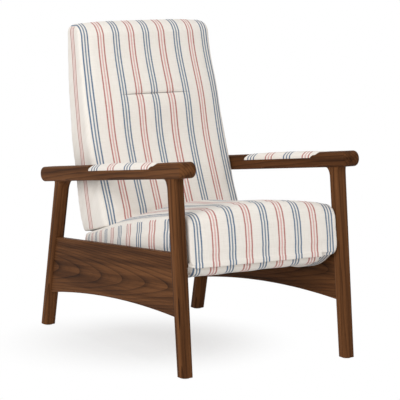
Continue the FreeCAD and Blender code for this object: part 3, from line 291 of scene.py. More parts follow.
class Figure(Enum):
    """How a board's growth rings show on its face."""

    STRAIGHT = "straight"
    CATHEDRAL = "cathedral"


class Grain(Enum):
    """The axis that the grain follows before it is tilted."""

    ALONG = "y"
    UPRIGHT = "z"


@dataclass(frozen=True)
class Walnut:
    """Satin walnut with its grain along one tilted direction."""

    name: str
    grain: Grain
    tilt: float
    figure: Figure = Figure.STRAIGHT
    light: Colour = srgb(114, 74, 44)
    middle: Colour = srgb(88, 55, 32)
    dark: Colour = srgb(40, 23, 13)
    ring_pitch: float = 0.0085
    loop_centre: float = 0.234
    loop_tip: float = -0.242
    loop_pitch: float = 0.1446
    loop_taper: float = 130.0
    loop_waver: float = 0.02
    loop_drift: float = 0.06
    ring_slant: Span = (0.8, 0.55)
    ring_waver: float = 0.02
    ring_creep: float = 0.02
    ring_power: float = 4.0
    ring_shadow: float = 0.6
    faint_ratio: float = 2.3
    faint_drift: float = 3.0
    faint_shadow: float = 0.14
    drift_scale: Span = (9.0, 2.4)
    fibre_scale: Span = (420.0, 9.0)
    fibre_dark: Span = (0.45, 0.8)
    fibre_shadow: float = 0.18
    streak_scale: Span = (55.0, 1.8)
    streak_tone: Span = (0.34, 0.66)
    streak_share: float = 0.7
    streak_dark: Span = (0.47, 0.7)
    streak_shadow: float = 0.36
    band_scale: Span = (16.0, 0.9)
    band_tone: Span = (0.35, 0.65)
    band_share: float = 0.3
    pore_scale: Span = (900.0, 22.0)
    pore_open: Span = (0.62, 0.75)
    pore_shadow: float = 0.45
    smoothest: float = 0.36
    rough_spread: float = 0.16

    def make(self) -> Material:
        """Build the material and return it."""
        shader = Shader(self.name, Specular_IOR_Level=0.02)
        turned = shader.node("ShaderNodeMapping", {"vector_type": "POINT"},
                             {"Vector": shader.place(), "Rotation": (math.radians(self.tilt), 0, 0)})
        across, along, other = shader.split(turned)
        if self.grain is Grain.UPRIGHT:
            along, other = other, along

        def drawn_out(scale: Span, detail: float, rough: float = 0.5) -> Signal:
            """Noise at one scale across the grain and another along it."""
            fine, long = scale
            return shader.noise(shader.join(across * fine, other * fine, along * long), 1.0, detail, rough)

        drift = drawn_out(self.drift_scale, 2.0) - 0.5
        rings = self.rings(across, along, other, drift)
        line = rings.math("FRACT") ** self.ring_power
        faint = (rings * self.faint_ratio + drift * self.faint_drift).math("FRACT") ** self.ring_power
        fibre = drawn_out(self.fibre_scale, 3.0, 0.6)
        streak = drawn_out(self.streak_scale, 3.0, 0.55)
        band = drawn_out(self.band_scale, 1.0)
        pores = drawn_out(self.pore_scale, 1.0).fade(*self.pore_open)
        mellow = streak.fade(*self.streak_tone) * self.streak_share
        mellow = mellow + band.fade(*self.band_tone) * self.band_share
        shadow = line * self.ring_shadow + faint * self.faint_shadow
        shadow = shadow + streak.fade(*self.streak_dark) * self.streak_shadow
        shadow = shadow + fibre.fade(*self.fibre_dark) * self.fibre_shadow
        tone = shader.blend(self.light, self.middle, mellow)
        tone = shader.blend(tone, self.dark, shadow)
        tone = shader.blend(tone, self.dark, pores * self.pore_shadow)
        shader.feed("Base Color", tone)
        shader.feed("Roughness", fibre * self.rough_spread + self.smoothest)
        shader.bump(fibre * 0.5 - pores, strength=0.25, distance=0.0004)
        return shader.material

    def rings(self, across: Signal, along: Signal, other: Signal, drift: Signal) -> Signal:
        """Count growth rings over the board.

        Args:
            across: Coordinate across the board's thickness.
            along: Coordinate along the grain.
            other: Coordinate across the board's width.
            drift: Slow noise that bends the rings.

        Returns:
            The ring number, whose whole steps are one ring apart.
        """
        if self.figure is Figure.CATHEDRAL:
            spread = (other - self.loop_centre + drift * self.loop_waver) ** 2 * self.loop_taper
            return (along - self.loop_tip - spread + drift * self.loop_drift) / self.loop_pitch
        level = across * self.ring_slant[0] + other * self.ring_slant[1]
        return (level + drift * self.ring_waver + along * self.ring_creep) / self.ring_pitch


@dataclass(frozen=True)
class Stripe:
    """Colours of one stripe of three lines."""

    outer: Colour
    inner: Colour


@dataclass(frozen=True)
class PullCreaseShade:
    """Painted shade along the sewn pull's crease, at one height and as long each way from the middle."""

    height: float
    half_length: float
    half_width: float = 0.0011
    fade_out: float = 0.045
    # Colour of the painted crease shade, and how fully it covers the cloth.
    colour: Colour = srgb(104, 98, 94)
    depth: float = 0.9


@dataclass(frozen=True)
class StripedLinen:
    """Cream linen woven with stripes of three thin lines, blue and red in turn."""

    name: str
    pitch: float = 0.0565
    line_gap: float = 0.0098
    line_half: float = 0.0024
    ground: Colour = srgb(238, 232, 224)
    shade: Colour = srgb(225, 217, 206)
    blue: Stripe = Stripe(srgb(64, 96, 128), srgb(90, 116, 141))
    red: Stripe = Stripe(srgb(176, 101, 96), srgb(216, 162, 158))
    thread: float = 0.0013
    slub_rate: float = 26.0
    weft_offset: float = 3.0
    raggedness: float = 0.0006
    line_soft: float = 0.0006
    shade_range: Span = (0.85, 1.3)
    shade_share: float = 0.6
    dye_level: float = 0.9
    dye_spread: float = 0.45
    weave_height: float = 0.5
    yarn_height: float = 0.6
    # Painted shade along the back's pull, when given.
    pull: PullCreaseShade | None = None

    def make(self) -> Material:
        """Build the material on the piece's cloth map and return it."""
        shader = Shader(self.name, Roughness=0.92, Sheen_Weight=0.12, Sheen_Roughness=0.5, IOR=1.35)
        cloth = shader.node("ShaderNodeUVMap", {"uv_map": CLOTH_MAP}, {})
        across, along, _ = shader.split(cloth)
        slub = self.slub_rate
        warp = shader.noise(shader.join(across / self.thread, along * slub, 0), 1.0, 2.0)
        weft = shader.noise(shader.join(across * slub, along / self.thread, self.weft_offset), 1.0, 2.0)
        ragged = across + (warp - 0.5) * self.raggedness
        steps = ragged / self.pitch
        count = (steps + 0.5).math("FLOOR")
        reach = abs((steps - count) * self.pitch)
        edge = (self.line_half + self.line_soft, self.line_half - self.line_soft)
        inner = reach.fade(*edge)
        outer = abs(reach - self.line_gap).fade(*edge)
        is_red = count.math("FLOORED_MODULO", 2.0)
        tone = shader.blend(self.ground, self.shade, (warp + weft).fade(*self.shade_range) * self.shade_share)
        dye = (weft - 0.5) * self.dye_spread + self.dye_level
        outer_colour = shader.blend(self.blue.outer, self.red.outer, is_red)
        inner_colour = shader.blend(self.blue.inner, self.red.inner, is_red)
        tone = shader.blend(tone, outer_colour, outer * dye)
        tone = shader.blend(tone, inner_colour, inner * dye)
        # Painted shade: darken the cloth along the pull's crease, fading out towards the crease's ends.
        if self.pull:
            near = abs(along - self.pull.height).fade(self.pull.half_width * 2, 0)
            ends = abs(across).fade(self.pull.half_length, self.pull.half_length - self.pull.fade_out)
            tone = shader.blend(tone, self.pull.colour, near * ends * self.pull.depth)
        shader.feed("Base Color", tone)
        turn = math.pi / self.thread
        weave = (across * turn).math("SINE") * (along * turn).math("SINE")
        height = weave * self.weave_height + warp * self.yarn_height + weft * self.yarn_height
        shader.bump(height, strength=0.35, distance=0.0005)
        return shader.material


@dataclass(frozen=True)
class PlainFinish:
    """A finish with slight mottling, for the pieces inside and under the chair."""

    name: str
    base: Colour
    worn: Colour
    rough: float = 0.5
    metal: float = 0.0
    stretch: Place = (60.0, 60.0, 60.0)
    relief: float = 0.0002
    mottle_range: Span = (0.3, 0.75)
    rough_spread: float = 0.2
    grit_scale: float = 9.0

    def make(self) -> Material:
        """Build the material and return it."""
        shader = Shader(self.name, Metallic=self.metal)
        x, y, z = shader.split(shader.place())
        place = shader.join(x * self.stretch[0], y * self.stretch[1], z * self.stretch[2])
        mottle = shader.noise(place, 1.0, 4.0, 0.6)
        grit = shader.noise(place, self.grit_scale, 2.0)
        shader.feed("Base Color", shader.blend(self.base, self.worn, mottle.fade(*self.mottle_range)))
        shader.feed("Roughness", mottle * self.rough_spread + (self.rough - self.rough_spread / 2))
        shader.bump(grit, strength=0.3, distance=self.relief)
        return shader.material


def activate(piece: Piece) -> None:
    """Make one object the only selected and active one."""
    bpy.ops.object.select_all(action="DESELECT")
    piece.select_set(True)
    bpy.context.view_layer.objects.active = piece


def apply_modifier(piece: Piece, kind: str, **settings: Any) -> None:
    """Add a modifier, set it up and apply it.

    Args:
        piece: Object that gets the modifier.
        kind: Type of the modifier.
        settings: Its properties.
    """
    activate(piece)
    modifier = piece.modifiers.new(kind.title(), kind)
    for name, value in settings.items():
        setattr(modifier, name, value)
    bpy.ops.object.modifier_apply(modifier=modifier.name)


def read_rows(items: bpy.types.bpy_prop_collection, name: str) -> Points:
    """A vector property of a mesh's vertices or faces as rows of x, y and z."""
    flat = np.empty(len(items) * 3)
    items.foreach_get(name, flat)
    return flat.reshape(-1, 3)


def read_points(piece: Piece) -> Points:
    """The vertices of a mesh as rows."""
    return read_rows(piece.data.vertices, "co")


def read_normals(piece: Piece) -> Points:
    """The vertex normals of a mesh as rows."""
    return read_rows(piece.data.vertices, "normal")


def write_points(piece: Piece, points: Points) -> None:
    """Move the vertices of a mesh."""
    piece.data.vertices.foreach_set("co", points.ravel())
    piece.data.update()


def dress(piece: Piece, material: Material) -> None:
    """Give an object one material all over."""
    piece.data.materials.clear()
    piece.data.materials.append(material)


def block(low: Place, high: Place,
          frame: Matrix) -> Piece:
    """A box between two corners of a tilted frame, placed in its mesh.

    Args:
        low: Lowest corner in the frame.
        high: Highest corner in the frame.
        frame: The frame's matrix.

    Returns:
        The box as an object at the origin.
    """
    bpy.ops.object.select_all(action="DESELECT")
    bpy.ops.mesh.primitive_cube_add(size=1)
    piece = bpy.context.object
    size = Vector(high) - Vector(low)
    middle = (Vector(high) + Vector(low)) / 2
    piece.data.transform(frame @ Matrix.Translation(middle) @ Matrix.Diagonal((*size, 1)))
    return piece


@dataclass
class Cover:
    """A padded cover that is blown up from a cushion solid, laid on its faces and then shaped."""

    name: str
    node: str
    body: str
    voxel: float
    cap: float
    fill: float
    shrink: float = 0.005
    pressure: float = 4.0
    frames: int = 14
    edge_give: float = 0.0006
    wrap_reach: float = 0.004
    merge_distance: float = 1e-5
    fillers: list[Piece] = field(default_factory=list)

    def solid(self, nodes: Nodes) -> Piece:
        """Copy the cushion solid and close its hollows with the fillers.

        Args:
            nodes: The frame's nodes by name.

        Returns:
            The closed copy.
        """
        piece = nodes[self.node].copy()
        piece.data = nodes[self.node].data.copy()
        piece.parent = None
        for key in list(piece.keys()):
            del piece[key]
        bpy.context.scene.collection.objects.link(piece)
        activate(piece)
        for filler in self.fillers:
            filler.select_set(True)
        if self.fillers:
            bpy.ops.object.join()
        bpy.ops.object.mode_set(mode="EDIT")
        bpy.ops.mesh.select_all(action="SELECT")
        bpy.ops.mesh.remove_doubles(threshold=self.merge_distance)
        bpy.ops.object.mode_set(mode="OBJECT")
        return piece

    def even_mesh(self, solid: Piece) -> Piece:
        """An even mesh over a solid, drawn in by the shrink."""
        piece = solid.copy()
        piece.data = solid.data.copy()
        piece.name = self.name
        bpy.context.scene.collection.objects.link(piece)
        apply_modifier(piece, "REMESH", mode="VOXEL", voxel_size=self.voxel)
        apply_modifier(piece, "SMOOTH", factor=0.5, iterations=3)
        apply_modifier(piece, "DISPLACE", strength=-self.shrink, mid_level=0)
        return piece

    def swelling(self, piece: Piece) -> Points:
        """Blow the mesh up as cloth and measure how far each point swells past the solid.

        Args:
            piece: The even mesh, which keeps its place.

        Returns:
            A column of distances, held within the cap.
        """
        before = read_points(piece)
        outward = read_normals(piece)
        activate(piece)
        cloth = piece.modifiers.new("Cloth", "CLOTH")
        cloth.settings.use_pressure = True
        cloth.settings.uniform_pressure_force = self.pressure
        cloth.settings.effector_weights.gravity = 0
        cloth.settings.quality = 4
        cloth.point_cache.frame_start = 1
        cloth.point_cache.frame_end = self.frames
        for step in range(1, self.frames + 1):
            bpy.context.scene.frame_set(step)
        bpy.ops.object.modifier_apply(modifier=cloth.name)
        swell = np.sum((read_points(piece) - before) * outward, axis=1, keepdims=True) - self.shrink
        write_points(piece, before)
        bpy.context.scene.frame_set(1)
        return np.clip(self.cap * np.tanh(swell / self.cap), -self.edge_give, self.cap)

    def settle(self, piece: Piece, solid: Piece, swell: Points) -> None:
        """Lay the mesh on the solid's faces and let it stand proud by the swelling.

        Args:
            piece: The even mesh.
            solid: The closed solid, which is deleted.
            swell: A column of distances.
        """
        write_points(piece, read_points(piece) + read_normals(piece) * (self.shrink + self.wrap_reach))
        apply_modifier(piece, "SHRINKWRAP", target=solid, wrap_method="NEAREST_SURFACEPOINT")
        write_points(piece, read_points(piece) + read_normals(piece) * swell)
        apply_modifier(piece, "SMOOTH", factor=0.4, iterations=1)
        bpy.data.objects.remove(solid)

    def make(self, nodes: Nodes, shape: Callable[[Points], Points],
             cloth_map: ClothMap, linen: Material) -> Piece:
        """Build the whole cover.

        Args:
            nodes: The frame's nodes by name.
            shape: Moves the points of the finished mesh, for seams, pulls and limits.
            cloth_map: Gives each face corner its place on the cloth.
            linen: The cover's material.

        Returns:
            The cover, which stands for its node.
        """
        solid = self.solid(nodes)
        piece = self.even_mesh(solid)
        self.settle(piece, solid, self.swelling(piece))
        apply_modifier(piece, "SUBSURF", levels=1, render_levels=1)
        write_points(piece, shape(read_points(piece)))
        bpy.ops.object.shade_smooth()
        lay_cloth(piece, cloth_map)
        dress(piece, linen)
        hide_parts(self.node)
        log.info("%s stands for %s", self.name, self.node)
        return piece


def lay_cloth(piece: Piece, cloth_map: ClothMap) -> None:
    """Write a piece's cloth map, in metres across and along the stripes.

    Args:
        piece: The mesh.
        cloth_map: Takes the points of all face corners and their faces' normals and middles, and gives rows
            of two numbers.
    """
    mesh = piece.data
    while mesh.uv_layers:
        mesh.uv_layers.remove(mesh.uv_layers[0])
    layer = mesh.uv_layers.new(name=CLOTH_MAP)
    corners = np.empty(len(mesh.loops), dtype=np.int64)
    mesh.loops.foreach_get("vertex_index", corners)
    counts = np.empty(len(mesh.polygons), dtype=np.int64)
    mesh.polygons.foreach_get("loop_total", counts)
    looks = [np.repeat(read_rows(mesh.polygons, kind), counts, axis=0) for kind in ("normal", "center")]
    rows = cloth_map(read_points(piece)[corners], *looks)
    layer.data.foreach_set("uv", np.ascontiguousarray(rows, dtype=np.float32).ravel())


def tilted_frame(y: float, z: float, fall: float) -> Matrix:
    """Frame whose Y axis falls towards the rear by an angle in degrees, from a point of the side view."""
    return Matrix.Translation((0, y, z)) @ Matrix.Rotation(math.radians(-fall), 4, "X")


@dataclass
class Seat:
    """Seat cushion with boxed sides on the gliding deck."""

    deck: Matrix = field(default_factory=lambda: tilted_frame(-0.443, 0.328, 7.3))
    half_width: float = 0.259
    side_limit: float = 0.2628
    right_shift: float = 0.004
    right_shift_reach: Span = (0.32, 0.12)
    front_drop: float = 0.0075
    drop_heights: Span = (0.035, 0.0)
    drop_reach: Span = (0.04, 0.0)
    stripe_shift: float = 0.005
    stripe_spread: float = 1.022
    length: float = 0.684
    frame_front: float = 0.05
    frame_rear: float = 0.677
    frame_half: float = 0.252
    frame_top: float = 0.058
    slot_front: float = 0.586
    slot_near: float = 0.2
    slot_far: float = 0.238
    slot_top: float = 0.092
    slot_rear_wall: float = 0.004
    filler_low: float = 0.001
    front_height: float = 0.149
    rear_drop: float = 0.056
    crown: float = 0.005
    crown_reach: Span = (0.02, 0.14)
    lift_reach: Span = (0.6, 0.44)
    lift_heights: Span = (0.03, 0.09)
    dome: float = 0.016
    dome_centre: float = 0.37
    dome_length: float = 0.13
    dome_width: float = 0.12
    seam_below: float = 0.008
    seam_depth: float = 0.0022
    seam_half: float = 0.005
    seam_inset: Span = (0.02, 0.006)
    side_facing: float = 0.62
    side_stripe_rear: float = 0.344
    side_stripe_reach: float = 0.643
    side_stripe_ratio: float = 0.852
    side_stripe_first: float = -0.02
    side_stripe_least: float = 0.02

    def fillers(self) -> list[Piece]:
        """Blocks that close the room of the frame and of the recline plates."""
        blocks = [block((-self.frame_half, self.frame_front, self.filler_low),
                        (self.frame_half, self.frame_rear, self.frame_top), self.deck)]
        slot_rear = self.length - self.slot_rear_wall
        for side in SIDES.values():
            near, far = sorted((side * self.slot_near, side * self.slot_far))
            blocks.append(block((near, self.slot_front, self.filler_low), (far, slot_rear, self.slot_top),
                                self.deck))
        return blocks

    def on_deck(self, points: Points) -> Points:
        """Points in the deck's frame."""
        inverse = np.array(self.deck.inverted())
        return points @ inverse[:3, :3].T + inverse[:3, 3]

    def edge_height(self, along: Points) -> Points:
        """Height of the seat's side edge above the deck."""
        return self.front_height - self.rear_drop * np.clip(along / self.length, 0, 1) ** 2

    def lift(self, local: Points) -> Points:
        """How far the seat's top is crowned above its side edges, which fall away to the rear."""
        along = np.clip(local[:, 1], 0, self.length)
        rise = self.rear_drop * (along / self.length) ** 2 + self.crown * smooth(*self.crown_reach, along)
        middle = 1 - np.clip(np.abs(local[:, 0]) / self.side_limit, 0, 1) ** 2
        off_dome = ((along - self.dome_centre) / self.dome_length) ** 2
        off_dome = off_dome + (local[:, 0] / self.dome_width) ** 2
        rise = rise * middle + self.dome * np.exp(-off_dome)
        return rise * smooth(*self.lift_reach, along) * smooth(*self.lift_heights, local[:, 2])

    def shape(self, points: Points) -> Points:
        """Crown the top, sew the boxing's top seam in, lower the front edge and keep clear of the legs."""
        local = self.on_deck(points)
        points[:, 2] += self.lift(local)
        below = self.edge_height(local[:, 1]) - self.seam_below - local[:, 2]
        seam_start, seam_end = (self.half_width - inset for inset in self.seam_inset)
        near_side = smooth(seam_start, seam_end, np.abs(points[:, 0]))
        dip = self.seam_depth * np.exp(-(below / self.seam_half) ** 2) * near_side
        points[:, 0] -= np.sign(points[:, 0]) * dip
        points[:, 0] += self.right_shift * smooth(*self.right_shift_reach, local[:, 1])
        points[:, 0] = np.clip(points[:, 0], -self.side_limit, self.side_limit)
        low_front = smooth(*self.drop_heights, local[:, 2]) * smooth(*self.drop_reach, local[:, 1])
        points[:, 2] -= self.front_drop * low_front
        return points

    def stripes_across(self, x: Points) -> Points:
        """Place across the cloth of points on the seat's top and front."""
        return (x - self.stripe_shift) / self.stripe_spread

    def cloth_map(self, points: Points, facing: Points, middles: Points) -> Points:
        """Stripes run over the top and down the front, and stand upright on the boxed sides."""
        across, along = self.stripes_across(points[:, 0]), points[:, 1] - points[:, 2]
        local = self.on_deck(middles)
        boxing = local[:, 2] < self.edge_height(local[:, 1]) - self.seam_below
        side = boxing & (np.abs(facing[:, 0]) > self.side_facing)
        reach = np.maximum(self.side_stripe_rear - points[side, 1], self.side_stripe_least)
        reach = reach / self.side_stripe_reach
        steps = np.log(reach) / math.log(self.side_stripe_ratio)
        across[side] = np.maximum(StripedLinen.pitch * steps, self.side_stripe_first)
        along[side] = points[side, 2]
        return np.stack([across, along], axis=1)

    def build(self, nodes: Nodes, linen: Material) -> None:
        """Make the seat's cover and let it ride on the gliding seat."""
        cover = Cover("seat_cover", "seat_cushion", "seat", voxel=0.0075, cap=0.0025, fill=0.75,
                      fillers=self.fillers())
        piece = cover.make(nodes, self.shape, self.cloth_map, linen)
        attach(piece, cover.body)


@dataclass
class Back:
    """Reclining back with a crowned front and a sewn pull across it."""

    frame: Matrix = field(default_factory=lambda: tilted_frame(0.244, 0.318, 11.44))
    room_half: float = 0.223
    room_front: float = -0.048
    room_rear: float = -0.0005
    room_high: float = 0.645
    room_low: float = 0.02
    side_limit: float = 0.2545
    pull_fade: float = 0.022
    front_y: tuple[float, ...] = (0.106, 0.175, 0.235, 0.275, 0.301)
    front_z: tuple[float, ...] = (0.374, 0.524, 0.674, 0.824, 0.974)
    pull_height: float = 0.774
    pull_half: float = 0.109
    pull_depth: float = 0.005
    pull_width: float = 0.0035
    pull_ends: Span = (0.02, -0.04)
    front_depths: Span = (0.06, 0.02)
    dimple_depth: float = 0.003
    dimple_width: float = 0.02
    rear_cloth: float = 2.0
    rear_low: Span = (0.251, 0.337)
    rear_slope: float = 0.2196
    side_line: float = 0.68
    side_plain: float = 0.026
    side_facing: float = 0.75
    side_stripe: int = 5
    rear_facing: float = 0.3
    foot_drop: float = 0.006
    foot_heights: Span = (0.44, 0.38)
    foot_reach: Span = (0.1, 0.2)
    fullness: float = 0.043
    full_heights: Span = (0.48, 0.66)
    top_draw: float = 0.02
    draw_heights: Span = (0.75, 0.95)
    top_lean: float = 0.003
    lean_heights: Span = (0.7, 0.95)
    top_gather: float = 0.038
    gather_shift: float = 0.002
    gather_heights: Span = (0.74, 0.97)
    top_rise: float = 0.008
    rise_heights: Span = (0.88, 0.99)
    roll_start: float = 0.957
    roll_radius: float = 0.041
    roll_most: float = 0.98
    top_set: float = 0.012
    set_heights: Span = (0.8, 0.95)
    corner_droop: float = 0.0055
    corner_reach: Span = (0.12, 0.24)
    corner_heights: Span = (0.93, 0.98)
    right_full: float = 0.006
    right_reach: Span = (0.1, 0.24)
    right_low: Span = (0.45, 0.55)
    right_high: Span = (0.9, 0.75)
    right_spread: float = 0.0055
    spread_reach: Span = (0.0, 0.12)
    rear_fullness: float = 0.008
    rear_depths: Span = (0.4, 0.9)
    crown: float = 0.015
    crown_height: float = 0.745
    crown_reach: float = 0.08
    crown_half: float = 0.26
    crown_depths: Span = (0.6, 0.1)
    bend_low: Span = (0.17, 0.36)
    bend_high: Span = (0.2, 0.47)

    def fillers(self) -> list[Piece]:
        """Block that closes the room of the back's frame."""
        return [block((-self.room_half, self.room_front, self.room_low),
                      (self.room_half, self.room_rear, self.room_high), self.frame)]

    def depth(self, points: Points) -> Points:
        """How far points lie behind the front edge of the back at their height."""
        return np.maximum(points[:, 1] - np.interp(points[:, 2], self.front_z, self.front_y), 0)

    def full_depth(self, heights: Points) -> Points:
        """Depth of the back from its front edge to its rear face at some heights."""
        rear = self.rear_low[0] + (heights - self.rear_low[1]) * self.rear_slope
        return rear - np.interp(heights, self.front_z, self.front_y)

    def plump(self, points: Points) -> None:
        """Fill the cover out above the arms, roll its top back and crown its front."""
        x, z = points[:, 0].copy(), points[:, 2].copy()
        share = np.clip(self.depth(points) / self.full_depth(z), 0, 1)
        crown = np.exp(-((z - self.crown_height) / self.crown_reach) ** 2) * (1 - (x / self.crown_half) ** 2)
        points[:, 1] -= self.crown * crown * smooth(*self.crown_depths, share)
        turn = np.clip((z - self.roll_start) / self.roll_radius, 0, self.roll_most)
        points[:, 1] += self.roll_radius * (1 - np.sqrt(1 - turn ** 2)) * (1 - share)
        points[:, 1] += self.top_set * smooth(*self.set_heights, z) * (1 - share)
        points[:, 1] += self.rear_fullness * smooth(*self.rear_depths, share)
        fuller = self.fullness * smooth(*self.full_heights, z)
        points[:, 0] *= 1 + fuller - self.top_draw * smooth(*self.draw_heights, z)
        points[:, 0] += self.top_lean * smooth(*self.lean_heights, z)
        right_middle = smooth(*self.right_low, z) * smooth(*self.right_high, z)
        points[:, 0] += self.right_full * smooth(*self.right_reach, x) * right_middle
        points[:, 2] += self.top_rise * smooth(*self.rise_heights, z)
        corners = smooth(*self.corner_reach, np.abs(x)) * smooth(*self.corner_heights, z)
        points[:, 2] -= self.corner_droop * corners

    def shape(self, points: Points) -> Points:
        """Plump the cover, sew the pull into the front and keep the sides between the arms."""
        self.plump(points)
        front = smooth(*self.front_depths, self.depth(points))
        pull_none, pull_full = (self.pull_half + more for more in self.pull_ends)
        ends = smooth(pull_none, pull_full, np.abs(points[:, 0]))
        rise = points[:, 2] - self.pull_height
        dent = self.pull_depth * np.exp(-(rise / self.pull_width) ** 2)
        dent = dent + self.dimple_depth * np.exp(-(rise / self.dimple_width) ** 2)
        points[:, 1] += dent * ends * front
        foot = smooth(*self.foot_heights, points[:, 2]) * smooth(*self.foot_reach, np.abs(points[:, 0]))
        points[:, 2] -= self.foot_drop * foot
        points[:, 0] = np.clip(points[:, 0], -self.side_limit, self.side_limit)
        return points

    def cloth_map(self, points: Points, facing: Points, middles: Points) -> Points:
        """Stripes run up the front and over the top, and each side has one stripe of its own."""
        depth = self.depth(points)
        off_line = depth - self.side_line * self.full_depth(points[:, 2])
        off_line = np.clip(off_line, -self.side_plain, self.side_plain)
        on_side = np.abs(facing[:, 0]) > self.side_facing
        gather = smooth(*self.gather_heights, points[:, 2])
        front = points[:, 0] * (1 + self.top_gather * gather) + self.gather_shift * gather
        front -= self.right_spread * smooth(*self.spread_reach, points[:, 0])
        beside = np.sign(points[:, 0]) * (self.side_stripe * StripedLinen.pitch + off_line)
        across = np.where(on_side, beside, front)
        along = points[:, 2] + depth + np.where(facing[:, 1] > self.rear_facing, self.rear_cloth, 0)
        return np.stack([across, along], axis=1)

    def build(self, nodes: Nodes, linen: Material) -> None:
        """Make the back's cover and bake its place into its mesh."""
        cover = Cover("back_cover", "back_cushion", "back", voxel=0.0075, cap=0.0025, fill=0.8,
                      fillers=self.fillers())
        piece = cover.make(nodes, self.shape, self.cloth_map, linen)
        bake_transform(piece)


@dataclass
class ArmPads:
    """Upholstered pads in the arms' recesses, striped across."""

    pitch: float = 0.1093
    line_gap: float = 0.0175
    line_half: float = 0.0038
    first_blue: float = 0.069
    edge_fall: float = 0.006
    edge_start: float = 0.008
    edge_end: float = 0.027
    proud: float = 0.001

    def shape(self, points: Points, low: Points, high: Points) -> Points:
        """Round a pad's long edges off and keep it within its own box."""
        off_middle = np.abs(points[:, 0] - (low[0] + high[0]) / 2)
        points[:, 2] -= self.edge_fall * smooth(self.edge_start, self.edge_end, off_middle)
        return np.clip(points, low - self.proud, high + self.proud)

    def cloth_map(self, points: Points, facing: Points, middles: Points) -> Points:
        """Stripes run across the arm and down its sides."""
        along = points[:, 0] - np.sign(facing[:, 0]) * points[:, 2]
        return np.stack([points[:, 1] - self.first_blue, along], axis=1)

    def build(self, nodes: Nodes, linen: Material) -> None:
        """Make both pads."""
        for side in SIDES:
            low, high = (np.array(corner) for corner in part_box(f"{side}_arm_pad"))
            cover = Cover(f"{side}_arm_cover", f"{side}_arm_pad", "frame", voxel=0.0035, cap=0.001,
                          fill=0.85, shrink=0.001, pressure=2.0)
            piece = cover.make(nodes, partial(self.shape, low=low, high=high), self.cloth_map, linen)
            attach(piece, cover.body)


@dataclass
class Footrest:
    """Pad of the folded footrest."""

    def cloth_map(self, points: Points, facing: Points, middles: Points) -> Points:
        """Stripes run along the legs."""
        return np.stack([points[:, 0], points[:, 1] - points[:, 2]], axis=1)

    def build(self, nodes: Nodes, linen: Material) -> None:
        """Make the pad's cover."""
        cover = Cover("footrest_cover", "footrest_pad", "footrest", voxel=0.004, cap=0.002, fill=0.6,
                      shrink=0.0015)
        piece = cover.make(nodes, lambda points: points, self.cloth_map, linen)
        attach(piece, cover.body)


